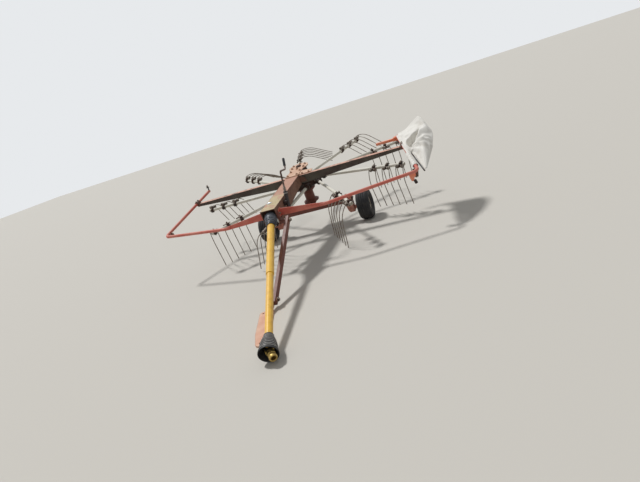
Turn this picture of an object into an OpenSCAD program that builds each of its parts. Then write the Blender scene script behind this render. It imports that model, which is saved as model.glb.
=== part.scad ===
// Rotary hay rake, drawn form, single rotor, parked on its wheels and its hitch plate.
// The machine is drawn level, with the rotor axis at x = 0, y = 0 and heights above one base plane.
// park() then tips it forward about the wheel axle and sets its tyres and its hitch plate on the ground.
// Front is -Y, the machine's left is +X, and the finished part's origin is the hitch-pin bore.

/* [Parking] */
// Forward tilt of the parked machine, in degrees
park_tilt = 8.6; // [6:0.1:9.5]
// Distance along the ground from the hitch-pin bore to the wheel axle
hitch_reach = 2534; // [2450:1:2700]
// Sideways place of the hitch-pin bore from the machine's centre plane
hitch_x = 217; // [190:1:240]

/* [Wheels] */
// Outer radius of the tyres
tyre_r = 171; // [160:1:180]
// Width of the tyres
tyre_w = 150; // [120:1:160]
// Radius of the rim seat under the tyre
rim_r = 78; // [70:1:90]
// Distance between the middles of the two tyres
track = 1230; // [1150:10:1260]
// Place of the wheel axle along the machine
wheel_y = -195; // [-230:5:-150]
// Height of the wheel axle in the level drawing
axle_z = 185; // [178:1:195]
// Sideways place of the wheels' middle from the rotor axis
axle_shift = 40; // [0:1:50]
// Height of the undercarriage tube's top
mast_foot = 320; // [300:5:340]
// Width and height of the undercarriage tube
axle_tube = 55; // [45:1:60]
// Radius of the stub axles
stub_r = 12.5; // [10:0.5:16]

/* [Rotor] */
// Radius of the circle on which the arm tips turn
tip_r = 1264; // [1200:1:1264]
// Height of the arms' axes
arm_z = 572; // [560:1:580]
// Radius of the arm tubes
arm_r = 17.5; // [14:0.5:19]
// Sideways offset of each arm from the rotor axis
arm_offset = 120; // [90:1:140]
// Direction of the first arm's tip, in degrees from +X
arm_turn = -15; // [-19:1:-11]
// Radius of the rotor drum
drum_r = 190; // [170:1:210]
// Height of the rotor drum
drum_h = 130; // [100:1:140]
// Radius of the fixed mast that the rotor turns on
mast_r = 36; // [30:1:40]

/* [Tines] */
// Radius of the spring wire
wire_r = 4.5; // [3.5:0.1:5.5]
// Height of a tine from its coil to its tip
tine_h = 440; // [400:5:445]
// Angle at which a tine leaves its coil outward, in degrees
tine_out = 35; // [28:1:38]
// Angle at which a tine runs inward to its tip, in degrees
tine_in = 10; // [7:1:14]
// Outer radius of a tine coil
coil_r = 19; // [17:0.5:21]
// Distance between the two legs of a double tine
leg_gap = 82; // [74:1:90]
// Distance from one double tine to the next
tine_pitch = 163; // [150:1:170]
// Distance from an arm's end to the middle of its outermost clamp
clamp_inset = 38; // [36:1:70]

/* [Frame] */
// Width of the box beam
box_w = 152; // [140:1:160]
// Wall thickness of the box beam
box_wall = 6; // [4:0.5:8]
// Height of the box beam's top at its front end
box_z = 815; // [800:1:840]
// Height of the box beam's top at its rear end
box_rear_z = 756; // [752:1:765]
// Distance from the rotor axis to the box beam's front end
box_front = 1285; // [1280:1:1320]
// Depth of the box beam's walls at the front end
box_depth = 172; // [150:1:178]
// Place of the crossbeam along the machine
beam_y = -300; // [-330:5:-260]
// Height of the crossbeam's top
beam_z = 758; // [750:1:760]
// Depth of the crossbeam in the middle
beam_depth = 95; // [80:1:100]
// Depth of the crossbeam at its ends
beam_end_depth = 32; // [28:1:45]
// Width of the crossbeam's flanges
flange_w = 46; // [40:1:55]
// Thickness of the crossbeam's plate
beam_t = 6; // [4:0.5:8]

/* [Guard] */
// Radius of the guard tubes
guard_r = 16; // [13:0.5:18]
// Half width of the guard at its front corners
guard_half_w = 1400; // [1370:5:1450]
// Distance from the rotor axis to the guard's front corners
guard_corner = 950; // [900:5:980]
// Height of the guard's front corners
guard_corner_z = 692; // [680:1:720]
// Half width of the guard at its rear ends
guard_rear_w = 1190; // [1180:1:1200]
// Distance from the rotor axis to the guard's rear ends
guard_rear = 35; // [20:5:60]
// Height of the guard's rear ends
guard_rear_z = 796; // [780:1:810]
// Distance from the rotor axis to the guard plates at the box beam
guard_root = 1200; // [1190:1:1210]
// Height of the guard plates' middle at the box beam
guard_root_z = 737; // [730:1:745]
// Depth of a guard plate at the box beam
guard_plate_h = 75; // [60:1:80]
// Distance from the centre plane to the seam of guard plate and tube
guard_seam = 540; // [500:5:600]
// Height of the guard's tube at that seam
guard_seam_z = 705; // [700:1:715]

/* [Drawbar] */
// Thickness of the drawbar
bar_w = 30; // [20:1:36]
// Depth of the drawbar
bar_h = 50; // [40:1:51]
// Sideways place of the drawbar's middle from the machine's centre plane
bar_x = 150; // [142:1:165]
// Height of the drawbar's pivot on the box beam
bar_pivot_z = 665; // [664:1:672]
// Distance from the hitch-pin bore to the drawbar's lower bolt
bar_foot = 575; // [560:5:600]
// Height of the drawbar's lower bolt above the ground
bar_foot_z = 66; // [60:1:70]
// Thickness of the hitch plate
plate_t = 12; // [8:1:16]
// Width of the hitch plate at its rear end
plate_w = 120; // [100:1:130]
// Width of the hitch plate at the pin
nose_w = 84; // [70:1:100]
// Distance from the hitch-pin bore to the plate's rear holes
plate_len = 500; // [480:5:520]
// Sideways turn of the parked hitch plate, in degrees
plate_yaw = 15; // [12:0.5:17]
// Radius of the hitch-pin bore
pin_bore_r = 13; // [11:0.5:15]

/* [Drive shaft] */
// Sideways swing of the parked drive shaft, in degrees
shaft_yaw = 13.4; // [10:0.1:16]
// Length of the shaft from the upper joint to the lower one
shaft_len = 1720; // [1600:10:1750]
// Outer radius of the outer guard tube
shield_r = 33; // [28:0.5:36]
// Length of the outer guard tube
shield_len = 820; // [700:10:900]
// Outer radius of the inner guard tube
inner_r = 28.5; // [25:0.5:30]
// Radius of the upper guard cone at its mouth
cone_r = 64; // [56:1:65]
// Radius of the lower guard cone at its mouth
foot_cone_r = 71; // [60:1:74]
// Length of a guard cone
cone_len = 170; // [140:1:190]
// Radius of the splined bore in the end yoke
yoke_bore_r = 17.5; // [15:0.5:19]
// Parked swing of the end yoke at its joint, in degrees
yoke_swing = 20; // [0:1:24]

/* [Curtain] */
// Length of the canvas along the machine
canvas_len = 890; // [850:10:920]
// Reach of the curtain's rear rod outside the guard tube
canvas_reach = 270; // [250:5:290]
// Rise of the curtain's rear rod over the slide bar
canvas_rise = 160; // [120:5:180]
// Thickness of the curtain's slide bar
slide_w = 25; // [20:1:28]
// Radius of the curtain's rear rod
rear_rod_r = 9; // [7:0.5:10]
// Radius of the curtain's hem rod
hem_rod_r = 7; // [5:0.5:8]

/* [Hidden] */
$fn = 48;
RUN = 0.05;
SEAT = 0.3;

red = "firebrick";
white = "gainsboro";
steel = "dimgray";

// Arm table: [name, place in the ring of nine, roll about its own axis in degrees]
ARMS = [
    ["arm_1", 4, -62], ["arm_2", 3, -68], ["arm_3", 2, -68],
    ["arm_4", 1, -6], ["arm_5", 0, 0], ["arm_6", 8, -16],
    ["arm_7", 7, -26], ["arm_8", 5, -40], ["arm_9", 6, -4]];
arm_step = 40;
tines_per_arm = 3;

// Level machine coordinates to the parked frame
function parked_point(p) = let(y = p.y - wheel_y, z = p.z - axle_z) [
    p.x - hitch_x,
    hitch_reach + y * cos(park_tilt) - z * sin(park_tilt),
    tyre_r + y * sin(park_tilt) + z * cos(park_tilt)];

module park() {
    translate([-hitch_x, hitch_reach, tyre_r]) rotate([park_tilt, 0, 0]) translate([0, -wheel_y, -axle_z])
        children();
}

// Round bar between two points
module bar(a, b, r) {
    d = b - a;
    l = norm(d);
    translate(a) rotate([0, acos(d.z / l), atan2(d.y, d.x)]) cylinder(r = r, h = l);
}

// Round bar along a list of points, bent to the given radius at each corner
function unit(v) = v / norm(v);
function bend_angle(points, i) =
    acos(unit(points[i] - points[i - 1]) * unit(points[i + 1] - points[i]));
function setback(points, i, bend) =
    (i == 0 || i == len(points) - 1) ? 0 : bend * tan(bend_angle(points, i) / 2) - bend_lap;
// A bend is a hair thicker than its tube and takes the tube's end in by this much
bend_lap = 2;
bend_swell = 0.2;

module bend(points, i, r, bend) {
    u = unit(points[i] - points[i - 1]);
    v = unit(points[i + 1] - points[i]);
    n = unit(cross(u, v));
    x = cross(u, n);
    c = points[i] - u * (setback(points, i, bend) + bend_lap) - x * bend;
    multmatrix([[x.x, u.x, n.x, c.x], [x.y, u.y, n.y, c.y], [x.z, u.z, n.z, c.z], [0, 0, 0, 1]])
        rotate_extrude(angle = bend_angle(points, i)) translate([bend, 0]) circle(r = r + bend_swell);
}

module bent_bar(points, r, bend) {
    for (i = [0 : len(points) - 2]) {
        d = unit(points[i + 1] - points[i]);
        bar(points[i] + d * setback(points, i, bend), points[i + 1] - d * setback(points, i + 1, bend), r);
    }
    for (i = [1 : 1 : len(points) - 2]) bend(points, i, r, bend);
}

// Box beam: an open channel with its mouth down, tapered towards the rotor
box_rear = 108;
box_rear_depth = 90;
slot_gap = SEAT;

function box_top(y) = box_rear_z + (box_z - box_rear_z) * (-y - box_rear) / (box_front - box_rear);

module box_beam() {
    inner_w = box_w - 2 * box_wall;
    color("rosybrown") park() {
        difference() {
            rotate([90, 0, -90]) translate([0, 0, -box_w / 2])
                linear_extrude(box_w) polygon([
                    [box_rear, box_rear_z], [box_front, box_z],
                    [box_front, box_z - box_depth], [box_front - 80, box_z - box_depth],
                    [box_rear, box_rear_z - box_rear_depth]]);
            rotate([90, 0, -90]) translate([0, 0, -inner_w / 2])
                linear_extrude(inner_w) polygon([
                    [box_rear - 1, box_top(1 - box_rear) - box_wall],
                    [box_front + 1, box_top(-box_front - 1) - box_wall],
                    [box_front + 1, box_z - box_depth - 1], [box_rear - 1, box_z - box_depth - 1]]);
            translate([-box_w, beam_y - flange_w / 2 - slot_gap, beam_z - beam_depth - 60])
                cube([2 * box_w, flange_w + 2 * slot_gap, beam_depth + 60 + slot_gap]);
        }
    }
}

// Crossbeam: a channel whose web tapers to both ends
clamp_reach = 36;
beam_half = guard_rear_w - clamp_reach
    + (guard_half_w - guard_rear_w) * (-beam_y - guard_rear) / (guard_corner - guard_rear);
beam_flat = 160;

module crossbeam() {
    color("saddlebrown") park() difference() {
        translate([0, beam_y - flange_w / 2, 0]) {
            translate([0, beam_t, 0]) rotate([90, 0, 0]) linear_extrude(beam_t) polygon([
                [-beam_half, beam_z], [beam_half, beam_z], [beam_half, beam_z - beam_end_depth],
                [beam_flat, beam_z - beam_depth], [-beam_flat, beam_z - beam_depth],
                [-beam_half, beam_z - beam_end_depth]]);
            translate([-beam_half, 0, beam_z - beam_t]) cube([2 * beam_half, flange_w, beam_t]);
            translate([0, flange_w, 0]) rotate([90, 0, 0]) linear_extrude(flange_w) polygon([
                [beam_half, beam_z - beam_end_depth], [beam_flat, beam_z - beam_depth],
                [-beam_flat, beam_z - beam_depth], [-beam_half, beam_z - beam_end_depth],
                [-beam_half, beam_z - beam_end_depth + beam_t], [-beam_flat, beam_z - beam_depth + beam_t],
                [beam_flat, beam_z - beam_depth + beam_t], [beam_half, beam_z - beam_end_depth + beam_t]]);
        }
        translate([0, beam_y, joint_z]) rotate([90, 0, 0]) cylinder(r = input_r + 8, h = 2 * flange_w, center = true);
    }
}

// Hub plate: the round-ended top plate over the gearbox
hub_plate_t = 10;
hub_plate_r = 116;
hub_reach = box_rear + 230;
hub_bolt_ring = 82;

module hub_plate() {
    // Level over the gearbox, and then sloping with the box beam's top
    color("rosybrown") park() difference() {
        intersection() {
            rotate([90, 0, -90]) translate([0, 0, -hub_plate_r - 1]) linear_extrude(2 * hub_plate_r + 2) polygon([
                [-hub_plate_r - 1, box_rear_z], [box_rear, box_rear_z],
                [hub_reach + 1, box_top(-hub_reach - 1) + RUN],
                [hub_reach + 1, box_top(-hub_reach - 1) + hub_plate_t], [box_rear, box_rear_z + hub_plate_t],
                [-hub_plate_r - 1, box_rear_z + hub_plate_t]]);
            translate([0, 0, box_rear_z - 1]) linear_extrude(box_z - box_rear_z) union() {
                circle(r = hub_plate_r);
                translate([-box_w / 2, -hub_reach]) square([box_w, hub_reach]);
            }
        }
        for (a = [0 : 60 : 300])
            rotate(a + 30) translate([hub_bolt_ring, 0, box_rear_z - 1]) cylinder(r = 6, h = hub_plate_t + 2);
    }
}

// Gearbox: a ribbed housing between the hub plate and the rotor drum
drum_over = 66;
drum_top = arm_z + drum_over;
gear_gap = 6;

module gearbox() {
    color("dimgray") park() {
        z0 = drum_top + gear_gap;
        rotate_extrude() polygon([
            [0, z0], [118, z0], [118, z0 + 16], [92, z0 + 24], [84, box_rear_z - 18], [96, box_rear_z - 12],
            [96, box_rear_z], [0, box_rear_z]]);
        difference() {
            translate([-38, -190, joint_z - 38]) cube([76, 110, box_rear_z - box_wall - 3 - joint_z + 38]);
            translate([0, -gear_boss, joint_z]) rotate([90, 0, 0]) cylinder(r = input_r, h = 60);
        }
    }
}

// Input shaft inside the box beam, from the gearbox to the fork of the drive shaft's upper joint
input_r = 15;
gear_boss = 150;
fork_in = 18;
fork_t = 8;
fork_r = 15;
fork_base = 26;
fork_wall = 12;
pin_r = 8;
bearing_y = -box_front + 100;
bearing_t = 10;
bearing_drop = 44;

module fork(gap, base, stem_r) {
    // Two ears with a pin along x, joined by a wall that stands base away along y
    for (s = [-1, 1]) translate([s * (gap + fork_t / 2), 0, 0]) rotate([0, 90, 0]) {
        cylinder(r = fork_r, h = fork_t, center = true);
        translate([-fork_r, 0, -fork_t / 2]) cube([2 * fork_r, base, fork_t]);
    }
    translate([-gap - fork_t, base - 2, -fork_r]) cube([2 * (gap + fork_t), fork_wall, 2 * fork_r]);
    rotate([-90, 0, 0]) translate([0, 0, base + fork_wall - 4]) cylinder(r = stem_r, h = 14);
}

module input_shaft() {
    color("dimgray") {
        park() translate([0, -box_front + joint_inset, joint_z]) translate([0, fork_base + fork_wall, 0])
            rotate([-90, 0, 0])
                cylinder(r = input_r - RUN, h = box_front - joint_inset - gear_boss - fork_base - fork_wall);
        translate(joint_pt) rotate([0, 0, shaft_yaw]) rotate([park_tilt, 0, 0]) {
            fork(fork_in + SEAT, fork_base, input_r - 2);
            rotate([0, 90, 0]) cylinder(r = pin_r - RUN, h = 2 * (fork_in + SEAT + fork_t), center = true);
        }
    }
}

// Bearing plate that carries the input shaft near the box beam's front end
module bearing_plate() {
    color("rosybrown") park() difference() {
        translate([-box_w / 2 + box_wall, bearing_y, joint_z - bearing_drop])
            cube([box_w - 2 * box_wall, bearing_t,
                box_top(bearing_y + bearing_t) - box_wall - RUN - joint_z + bearing_drop]);
        translate([0, bearing_y - 1, joint_z]) rotate([-90, 0, 0]) cylinder(r = input_r, h = bearing_t + 2);
    }
}

// Mast: the fixed column from the gearbox down to the undercarriage
module mast() {
    color("dimgray") park()
        translate([0, 0, mast_foot]) cylinder(r = mast_r - RUN, h = drum_top + gear_gap - mast_foot);
}

// Undercarriage: the cross tube under the rotor with its cast mast socket
axle_half = 455;
tube_wall = 5;
saddle_half = 70;
saddle_t = 8;
socket_foot_r = 92;
socket_neck_r = 58;
socket_head_r = 100;
socket_top = 496;

module undercarriage() {
    color("maroon") park() {
        translate([axle_shift - axle_half, wheel_y - axle_tube / 2, mast_foot - axle_tube]) difference() {
            cube([2 * axle_half, axle_tube, axle_tube]);
            translate([-1, tube_wall, tube_wall])
                cube([2 * axle_half + 2, axle_tube - 2 * tube_wall, axle_tube - 2 * tube_wall]);
        }
        translate([-saddle_half, wheel_y - axle_tube / 2, mast_foot - saddle_t])
            cube([2 * saddle_half, -wheel_y + axle_tube / 2 + socket_foot_r, saddle_t]);
        rotate_extrude() polygon([
            [mast_r, mast_foot - 1], [socket_foot_r, mast_foot - 1], [socket_foot_r, mast_foot + 12],
            [socket_neck_r, mast_foot + 34], [socket_neck_r, socket_top - 52], [socket_head_r, socket_top - 18],
            [socket_head_r, socket_top], [mast_r, socket_top]]);
    }
}

// Axle brackets: two cheeks clamped on the cross tube, an outer plate and a stub axle on each side
cheek_t = 8;
cheek_in = 55;
cheek_out = 34;
cheek_top = mast_foot + 20;
cheek_low = axle_z - 42;
cheek_y = axle_tube / 2 + SEAT;
adjust_r = 8;
hub_half = 46;
collar_r = 21;

module axle(side) {
    color("rosybrown") park() translate([axle_shift, wheel_y, 0]) mirror([side < 0 ? 1 : 0, 0, 0]) {
        for (y = [-cheek_y, cheek_y + cheek_t])
            translate([axle_half, y, 0]) rotate([90, 0, 0]) linear_extrude(cheek_t) difference() {
                polygon([
                    [-cheek_in, cheek_top], [cheek_out, cheek_top], [cheek_out, cheek_low],
                    [-24, cheek_low], [-40, cheek_low + 22], [-cheek_in, mast_foot - axle_tube - 16]]);
                for (z = [axle_z + 8, axle_z + 40]) translate([-10, z]) circle(r = adjust_r);
            }
        translate([axle_half + cheek_out - cheek_t, -cheek_y - 1, cheek_low])
            cube([cheek_t, 2 * cheek_y + 2, cheek_top - cheek_low]);
        translate([axle_half + cheek_out - 1, 0, axle_z]) rotate([0, 90, 0]) {
            cylinder(r = stub_r - RUN, h = track / 2 + hub_half + 6 - axle_half - cheek_out);
            cylinder(r = collar_r, h = track / 2 - hub_half - SEAT - axle_half - cheek_out + 1);
        }
    }
}

// Tyre: a plain tread band with rounded shoulders
shoulder = 24;

module tyre(side) {
    color("black") park() translate([axle_shift + side * track / 2, wheel_y, axle_z]) rotate([0, 90, 0])
        rotate_extrude($fn = 96) difference() {
            hull() {
                for (s = [-1, 1]) {
                    translate([tyre_r - shoulder, s * (tyre_w / 2 - shoulder)]) circle(r = shoulder, $fn = 32);
                    translate([rim_r + 14, s * (tyre_w / 2 - 26)]) circle(r = 14, $fn = 32);
                }
            }
            translate([0, -tyre_w / 2]) square([rim_r, tyre_w]);
        }
}

// Rim: a pressed dish with a hub that turns on the stub axle
rim_wall = 8;
hub_r = 30;

module rim(side) {
    color("gainsboro") park() translate([axle_shift + side * track / 2, wheel_y, axle_z]) rotate([0, 90, 0])
        rotate_extrude($fn = 96) polygon([
            [stub_r, -hub_half], [hub_r, -hub_half], [hub_r, -rim_wall], [rim_r - rim_wall, -rim_wall],
            [rim_r - rim_wall, -hub_half], [rim_r - RUN, -hub_half], [rim_r - RUN, hub_half],
            [rim_r - rim_wall, hub_half], [rim_r - rim_wall, 0], [hub_r, 0], [hub_r, hub_half],
            [stub_r, hub_half]]);
}

// Guard: a tapered plate from the box beam, and a tube round to the rear end
guard_b = [guard_seam, -guard_root, guard_seam_z];
guard_c = [guard_half_w, -guard_corner, guard_corner_z];
guard_d = [guard_rear_w, -guard_rear, guard_rear_z];
guard_dir = (guard_d - guard_c) / norm(guard_d - guard_c);
guard_bend = 55;
guard_plate_t = 8;
foot_half = 40;
foot_t = 7;
ear_back = 76;
ear_t = 10;
ear_drop = 98;
ear_short = 55;
hook_reach = 84;
ear_pt = guard_c + (guard_d - guard_c) * ear_back / (guard_corner - guard_rear);

module guard(side) {
    color(red) park() mirror([side < 0 ? 1 : 0, 0, 0]) {
        bent_bar([guard_b - [60, 0, 0], guard_b, guard_c, guard_d], guard_r, guard_bend);
        translate([0, -guard_root + guard_plate_t / 2, 0]) rotate([90, 0, 0]) linear_extrude(guard_plate_t)
            polygon([
                [box_w / 2, guard_root_z - guard_plate_h / 2], [guard_seam, guard_seam_z - guard_r],
                [guard_seam, guard_seam_z + guard_r], [box_w / 2, guard_root_z + guard_plate_h / 2]]);
        translate([box_w / 2, -guard_root - foot_half, guard_root_z - guard_plate_h / 2])
            cube([foot_t, 2 * foot_half, guard_plate_h]);
    }
}

// Corner plate under the guard tube, with the hook for the lowered curtain on the left one
module corner_plate(side) {
    drop = side > 0 ? ear_drop : ear_short;
    color("saddlebrown") park() mirror([side < 0 ? 1 : 0, 0, 0]) difference() {
        translate(ear_pt) rotate([90, 0, 0]) {
            linear_extrude(ear_t) polygon([
                [-10, 6], [14, 8], [40, -8], [44, -drop / 2], [30, -drop], [2, -drop + 6], [-12, -30]]);
            if (side > 0) translate([0, 0, ear_t]) linear_extrude(ear_t) polygon([
                [20, -34], [64, -34], [hook_reach, -56], [72, -118], [46, -112], [22, -74]]);
        }
        bar(guard_c, guard_d, guard_r + SEAT);
    }
}

// Clamp that joins the crossbeam's end to the guard's side tube
cross_t = (beam_y + guard_corner) / (guard_corner - guard_rear);
cross_pt = guard_c + (guard_d - guard_c) * cross_t;
clamp_wall = 8;
clamp_len = 60;

module guard_clamp(side) {
    color("saddlebrown") park() mirror([side < 0 ? 1 : 0, 0, 0]) difference() {
        union() {
            bar(cross_pt - clamp_len / 2 * guard_dir, cross_pt + clamp_len / 2 * guard_dir, guard_r + clamp_wall);
            translate([beam_half, beam_y - flange_w / 2, beam_z - beam_end_depth])
                cube([cross_pt.x - beam_half, flange_w, beam_end_depth]);
        }
        bar(cross_pt - clamp_len * guard_dir, cross_pt + clamp_len * guard_dir, guard_r + SEAT);
    }
}

// Height crank: a sleeve on the box beam's side, with its spindle and handle
crank_x = box_w / 2 + 36;
crank_low = [crank_x, -1020, 690];
crank_top = [crank_x, -972, 800];
crank_up = (crank_top - crank_low) / norm(crank_top - crank_low);
crank_rise = 365;
sleeve_r = 17;
spindle_r = 9;

module crank_sleeve() {
    color("black") park() {
        difference() {
            bar(crank_low, crank_top, sleeve_r);
            bar(crank_low - 5 * crank_up, crank_top + 5 * crank_up, spindle_r + SEAT);
        }
        difference() {
            translate([box_w / 2, crank_low.y - 10, crank_low.z + 35]) cube([crank_x - box_w / 2, 60, 40]);
            bar(crank_low - 5 * crank_up, crank_top + 5 * crank_up, sleeve_r - 2);
        }
    }
}

module crank_handle() {
    knee = crank_low + crank_rise * crank_up;
    color("dimgray") park()
        bent_bar([crank_low - 12 * crank_up, knee, knee + [0, 150, -36], knee + [0, 210, 62]], spindle_r, 22);
}

// Drawbar hanger: a plate on the box beam's side with a boss and the pivot bolt
hanger_t = 12;
boss_r = 17;
bolt_r = 10;
nut_r = 15;
nut_t = 10;
pivot = [bar_x, -box_front + 14, bar_pivot_z];

module drawbar_hanger() {
    wall_top = guard_root_z - guard_plate_h / 2 - 4;
    color("maroon") park() {
        translate([box_w / 2, pivot.y, 0]) rotate([90, 0, 90]) linear_extrude(hanger_t) polygon([
            [-14, box_z - 45], [22, box_z - 45], [26, wall_top], [66, wall_top],
            [50, pivot.z - 8], [14, pivot.z - boss_r], [-10, pivot.z - boss_r], [-14, pivot.z - 8]]);
        translate([box_w / 2 + hanger_t - 1, pivot.y, pivot.z]) rotate([0, 90, 0]) {
            cylinder(r = boss_r, h = bar_x - bar_w / 2 - SEAT - box_w / 2 - hanger_t + 1);
            cylinder(r = bolt_r - SEAT, h = bar_x + bar_w / 2 - box_w / 2 - hanger_t + 6);
        }
        translate([bar_x + bar_w / 2 + SEAT, pivot.y, pivot.z]) rotate([0, 90, 0]) cylinder(r = nut_r, h = nut_t);
    }
}

// Drawbar: a straight bar from the hanger down to the lug of the hitch plate
bar_top = parked_point(pivot);
bar_low = [bar_top.x, bar_foot, bar_foot_z];
bar_slope = atan2(bar_top.z - bar_low.z, bar_top.y - bar_low.y);
bar_over = 40;
bar_under = 34;

module drawbar() {
    color("maroon") translate(bar_low) rotate([bar_slope, 0, 0]) difference() {
        translate([-bar_w / 2, -bar_under, -bar_h / 2])
            cube([bar_w, norm(bar_top - bar_low) + bar_under + bar_over, bar_h]);
        for (y = [0, norm(bar_top - bar_low)])
            translate([0, y, 0]) rotate([0, 90, 0]) cylinder(r = bolt_r, h = 2 * bar_w, center = true);
    }
}

// Hitch plate: the flat tongue with the hitch-pin bore, and a lug for the drawbar's bolt
lug_t = 14;
lug_x = bar_low.x - bar_w / 2 - SEAT - lug_t;
lug_front = 390;
rear_r = 31;
rear_bolt_r = 9;

module hitch_plate() {
    color("salmon") {
        difference() {
            rotate(plate_yaw) linear_extrude(plate_t) difference() {
                union() {
                    circle(r = nose_w / 2);
                    polygon([
                        [-nose_w / 2, 0], [nose_w / 2, 0], [plate_w / 2, 160], [plate_w / 2, plate_len],
                        [-plate_w / 2, plate_len], [-plate_w / 2, 160]]);
                    for (s = [-1, 1]) translate([s * (plate_w / 2 - rear_r), plate_len]) circle(r = rear_r);
                    translate([-plate_w / 2 + rear_r, plate_len]) square([plate_w - 2 * rear_r, rear_r]);
                }
                for (s = [-1, 1]) translate([s * (plate_w / 2 - rear_r), plate_len]) circle(r = rear_bolt_r);
            }
            translate([0, 0, -1]) cylinder(r = pin_bore_r, h = plate_t + 2);
        }
        translate([lug_x, 0, 0]) rotate([90, 0, 90]) linear_extrude(lug_t) polygon([
            [lug_front, plate_t - 1], [bar_foot - 60, plate_t - 1], [bar_foot + 30, bar_foot_z - 24],
            [bar_foot + 30, bar_foot_z + 16], [bar_foot + 12, bar_foot_z + 30],
            [bar_foot - 20, bar_foot_z + 30], [lug_front, plate_t + 22]]);
        translate([lug_x + 1, bar_foot, bar_foot_z]) rotate([0, 90, 0])
            cylinder(r = bolt_r - SEAT, h = lug_t + bar_w + 6);
        translate([bar_low.x + bar_w / 2 + SEAT, bar_foot, bar_foot_z]) rotate([0, 90, 0])
            cylinder(r = nut_r, h = nut_t);
    }
}

// Rotor drum with its bore on the mast
module rotor_hub() {
    color("dimgray") park() rotate_extrude($fn = 96) polygon([
        [mast_r, drum_top - drum_h], [90, drum_top - drum_h], [drum_r - 30, drum_top - drum_h + 20],
        [drum_r, drum_top - drum_h + 40], [drum_r, drum_top - 30], [drum_r - 60, drum_top],
        [mast_r, drum_top]]);
}

// Arm frame: x runs out along the arm, y leads in the turning direction
tip_x = sqrt(tip_r * tip_r - arm_offset * arm_offset);
lead = asin(arm_offset / tip_r);
clamp_out = tip_x - clamp_inset;
clamp_half = 18;

module arm_frame(a) {
    park() rotate(arm_turn + arm_step * a[1] - lead) translate([0, arm_offset, arm_z]) rotate([a[2], 0, 0])
        children();
}

arm_root = sqrt(drum_r * drum_r - arm_offset * arm_offset) - 6;

module arm(a) {
    color(white) arm_frame(a) difference() {
        union() {
            translate([arm_root, 0, 0]) rotate([0, 90, 0]) cylinder(r = arm_r, h = tip_x - arm_root);
            for (i = [0 : tines_per_arm - 1]) translate([clamp_out - i * tine_pitch, 0, 0]) {
                translate([-clamp_half, 0, 0]) rotate([0, 90, 0]) cylinder(r = arm_r + 8, h = 2 * clamp_half);
                translate([-8, -coil_y - coil_r, coil_z - 6]) cube([16, coil_y + coil_r, 12]);
            }
        }
        rotate([-a[2], 0, 0]) translate([0, -arm_offset, -drum_h])
            cylinder(r = drum_r + SEAT, h = 2 * drum_h, $fn = 96);
    }
}

// Double tine: two coils beside the clamp, and two bowed legs
coil_y = arm_r + 8 + coil_r;
coil_z = -4;
wind_r = coil_r - wire_r;
leave_y = -wind_r * cos(tine_out);
leave_z = wind_r * sin(tine_out);
tine_bend = (tine_h + leave_z)
    / (sin(tine_out) + sin(tine_in) + (cos(tine_in) - cos(tine_out)) / tan(tine_in));
wire_lap = 0.15;

module tine_leg() {
    // In the y-z plane the wire leaves its coil to the trailing side, bends back and runs straight to its tip
    middle = [0, leave_y + tine_bend * cos(tine_out), leave_z - tine_bend * sin(tine_out)];
    turned = middle - tine_bend * [0, cos(tine_in), sin(tine_in)];
    run = [0, sin(tine_in), -cos(tine_in)];
    translate(middle) rotate([90, 0, 90]) rotate(180 - tine_out)
        rotate_extrude(angle = tine_out + tine_in, $fn = 96) translate([tine_bend, 0]) circle(r = wire_r, $fn = 16);
    bar(turned - bend_lap * run, turned + tine_bend * (cos(tine_in) - cos(tine_out)) / sin(tine_in) * run,
        wire_r - wire_lap);
}

module tines(a) {
    color(steel) arm_frame(a)
        for (i = [0 : tines_per_arm - 1]) translate([clamp_out - i * tine_pitch, -coil_y, coil_z]) {
            for (s = [-1, 1]) {
                translate([s * leg_gap / 2, 0, 0]) tine_leg();
                translate([s > 0 ? 8 + SEAT : -leg_gap / 2 - wire_r, 0, 0]) rotate([0, 90, 0])
                    cylinder(r = coil_r, h = leg_gap / 2 + wire_r - 8 - SEAT);
            }
        }
}

// Drive shaft frame: z runs down the shaft from its upper joint, and the lower cone's rim lies on the ground
joint_inset = 23;
joint_z = 727;
joint_pt = parked_point([0, -box_front + joint_inset, joint_z]);
foot_out = 60;
shaft_reach = shaft_len + foot_out;
shaft_drop = asin(joint_pt.z / norm([shaft_reach, foot_cone_r])) - atan(foot_cone_r / shaft_reach);

module shaft_frame() {
    translate(joint_pt) rotate([0, 0, shaft_yaw]) rotate([90 + shaft_drop, 0, 0]) children();
}

// Guard cone: a ribbed bellows from its mouth up to a neck on the guard tube
cone_wall = 4;
cone_rim = 24;
cone_bulge = 7;
neck_wall = 8;
neck_len = 40;
rib_deep = 3;

// The flare starts clear of the box beam's walls
function flare(k) = k < 0.2 ? 0 : sin(180 * (k - 0.2) / 0.8);

module cone_shell(mouth_r, neck, ribs, bulge) {
    n = 2 * ribs;
    rotate_extrude() polygon(concat(
        [[mouth_r - cone_wall, 0], [mouth_r, 0], [mouth_r, cone_rim]],
        [for (i = [1 : n - 1]) [
            mouth_r + (neck + neck_wall - mouth_r) * i / n + bulge * flare(i / n) - (i % 2) * rib_deep,
            cone_rim + (cone_len - neck_len - cone_rim) * i / n]],
        [[neck + neck_wall, cone_len - neck_len], [neck + neck_wall, cone_len], [neck + SEAT, cone_len],
            [neck + SEAT, cone_len - neck_len - 4], [mouth_r - cone_wall - rib_deep, cone_rim - 4]]));
}

module shaft_cone_upper() {
    color("black") shaft_frame() translate([0, 0, -8]) cone_shell(cone_r, shield_r, 6, cone_bulge);
}

// Steel core of the upper half, hinged on the fork's pin
core_r = 16;
core_up = 24;

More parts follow.
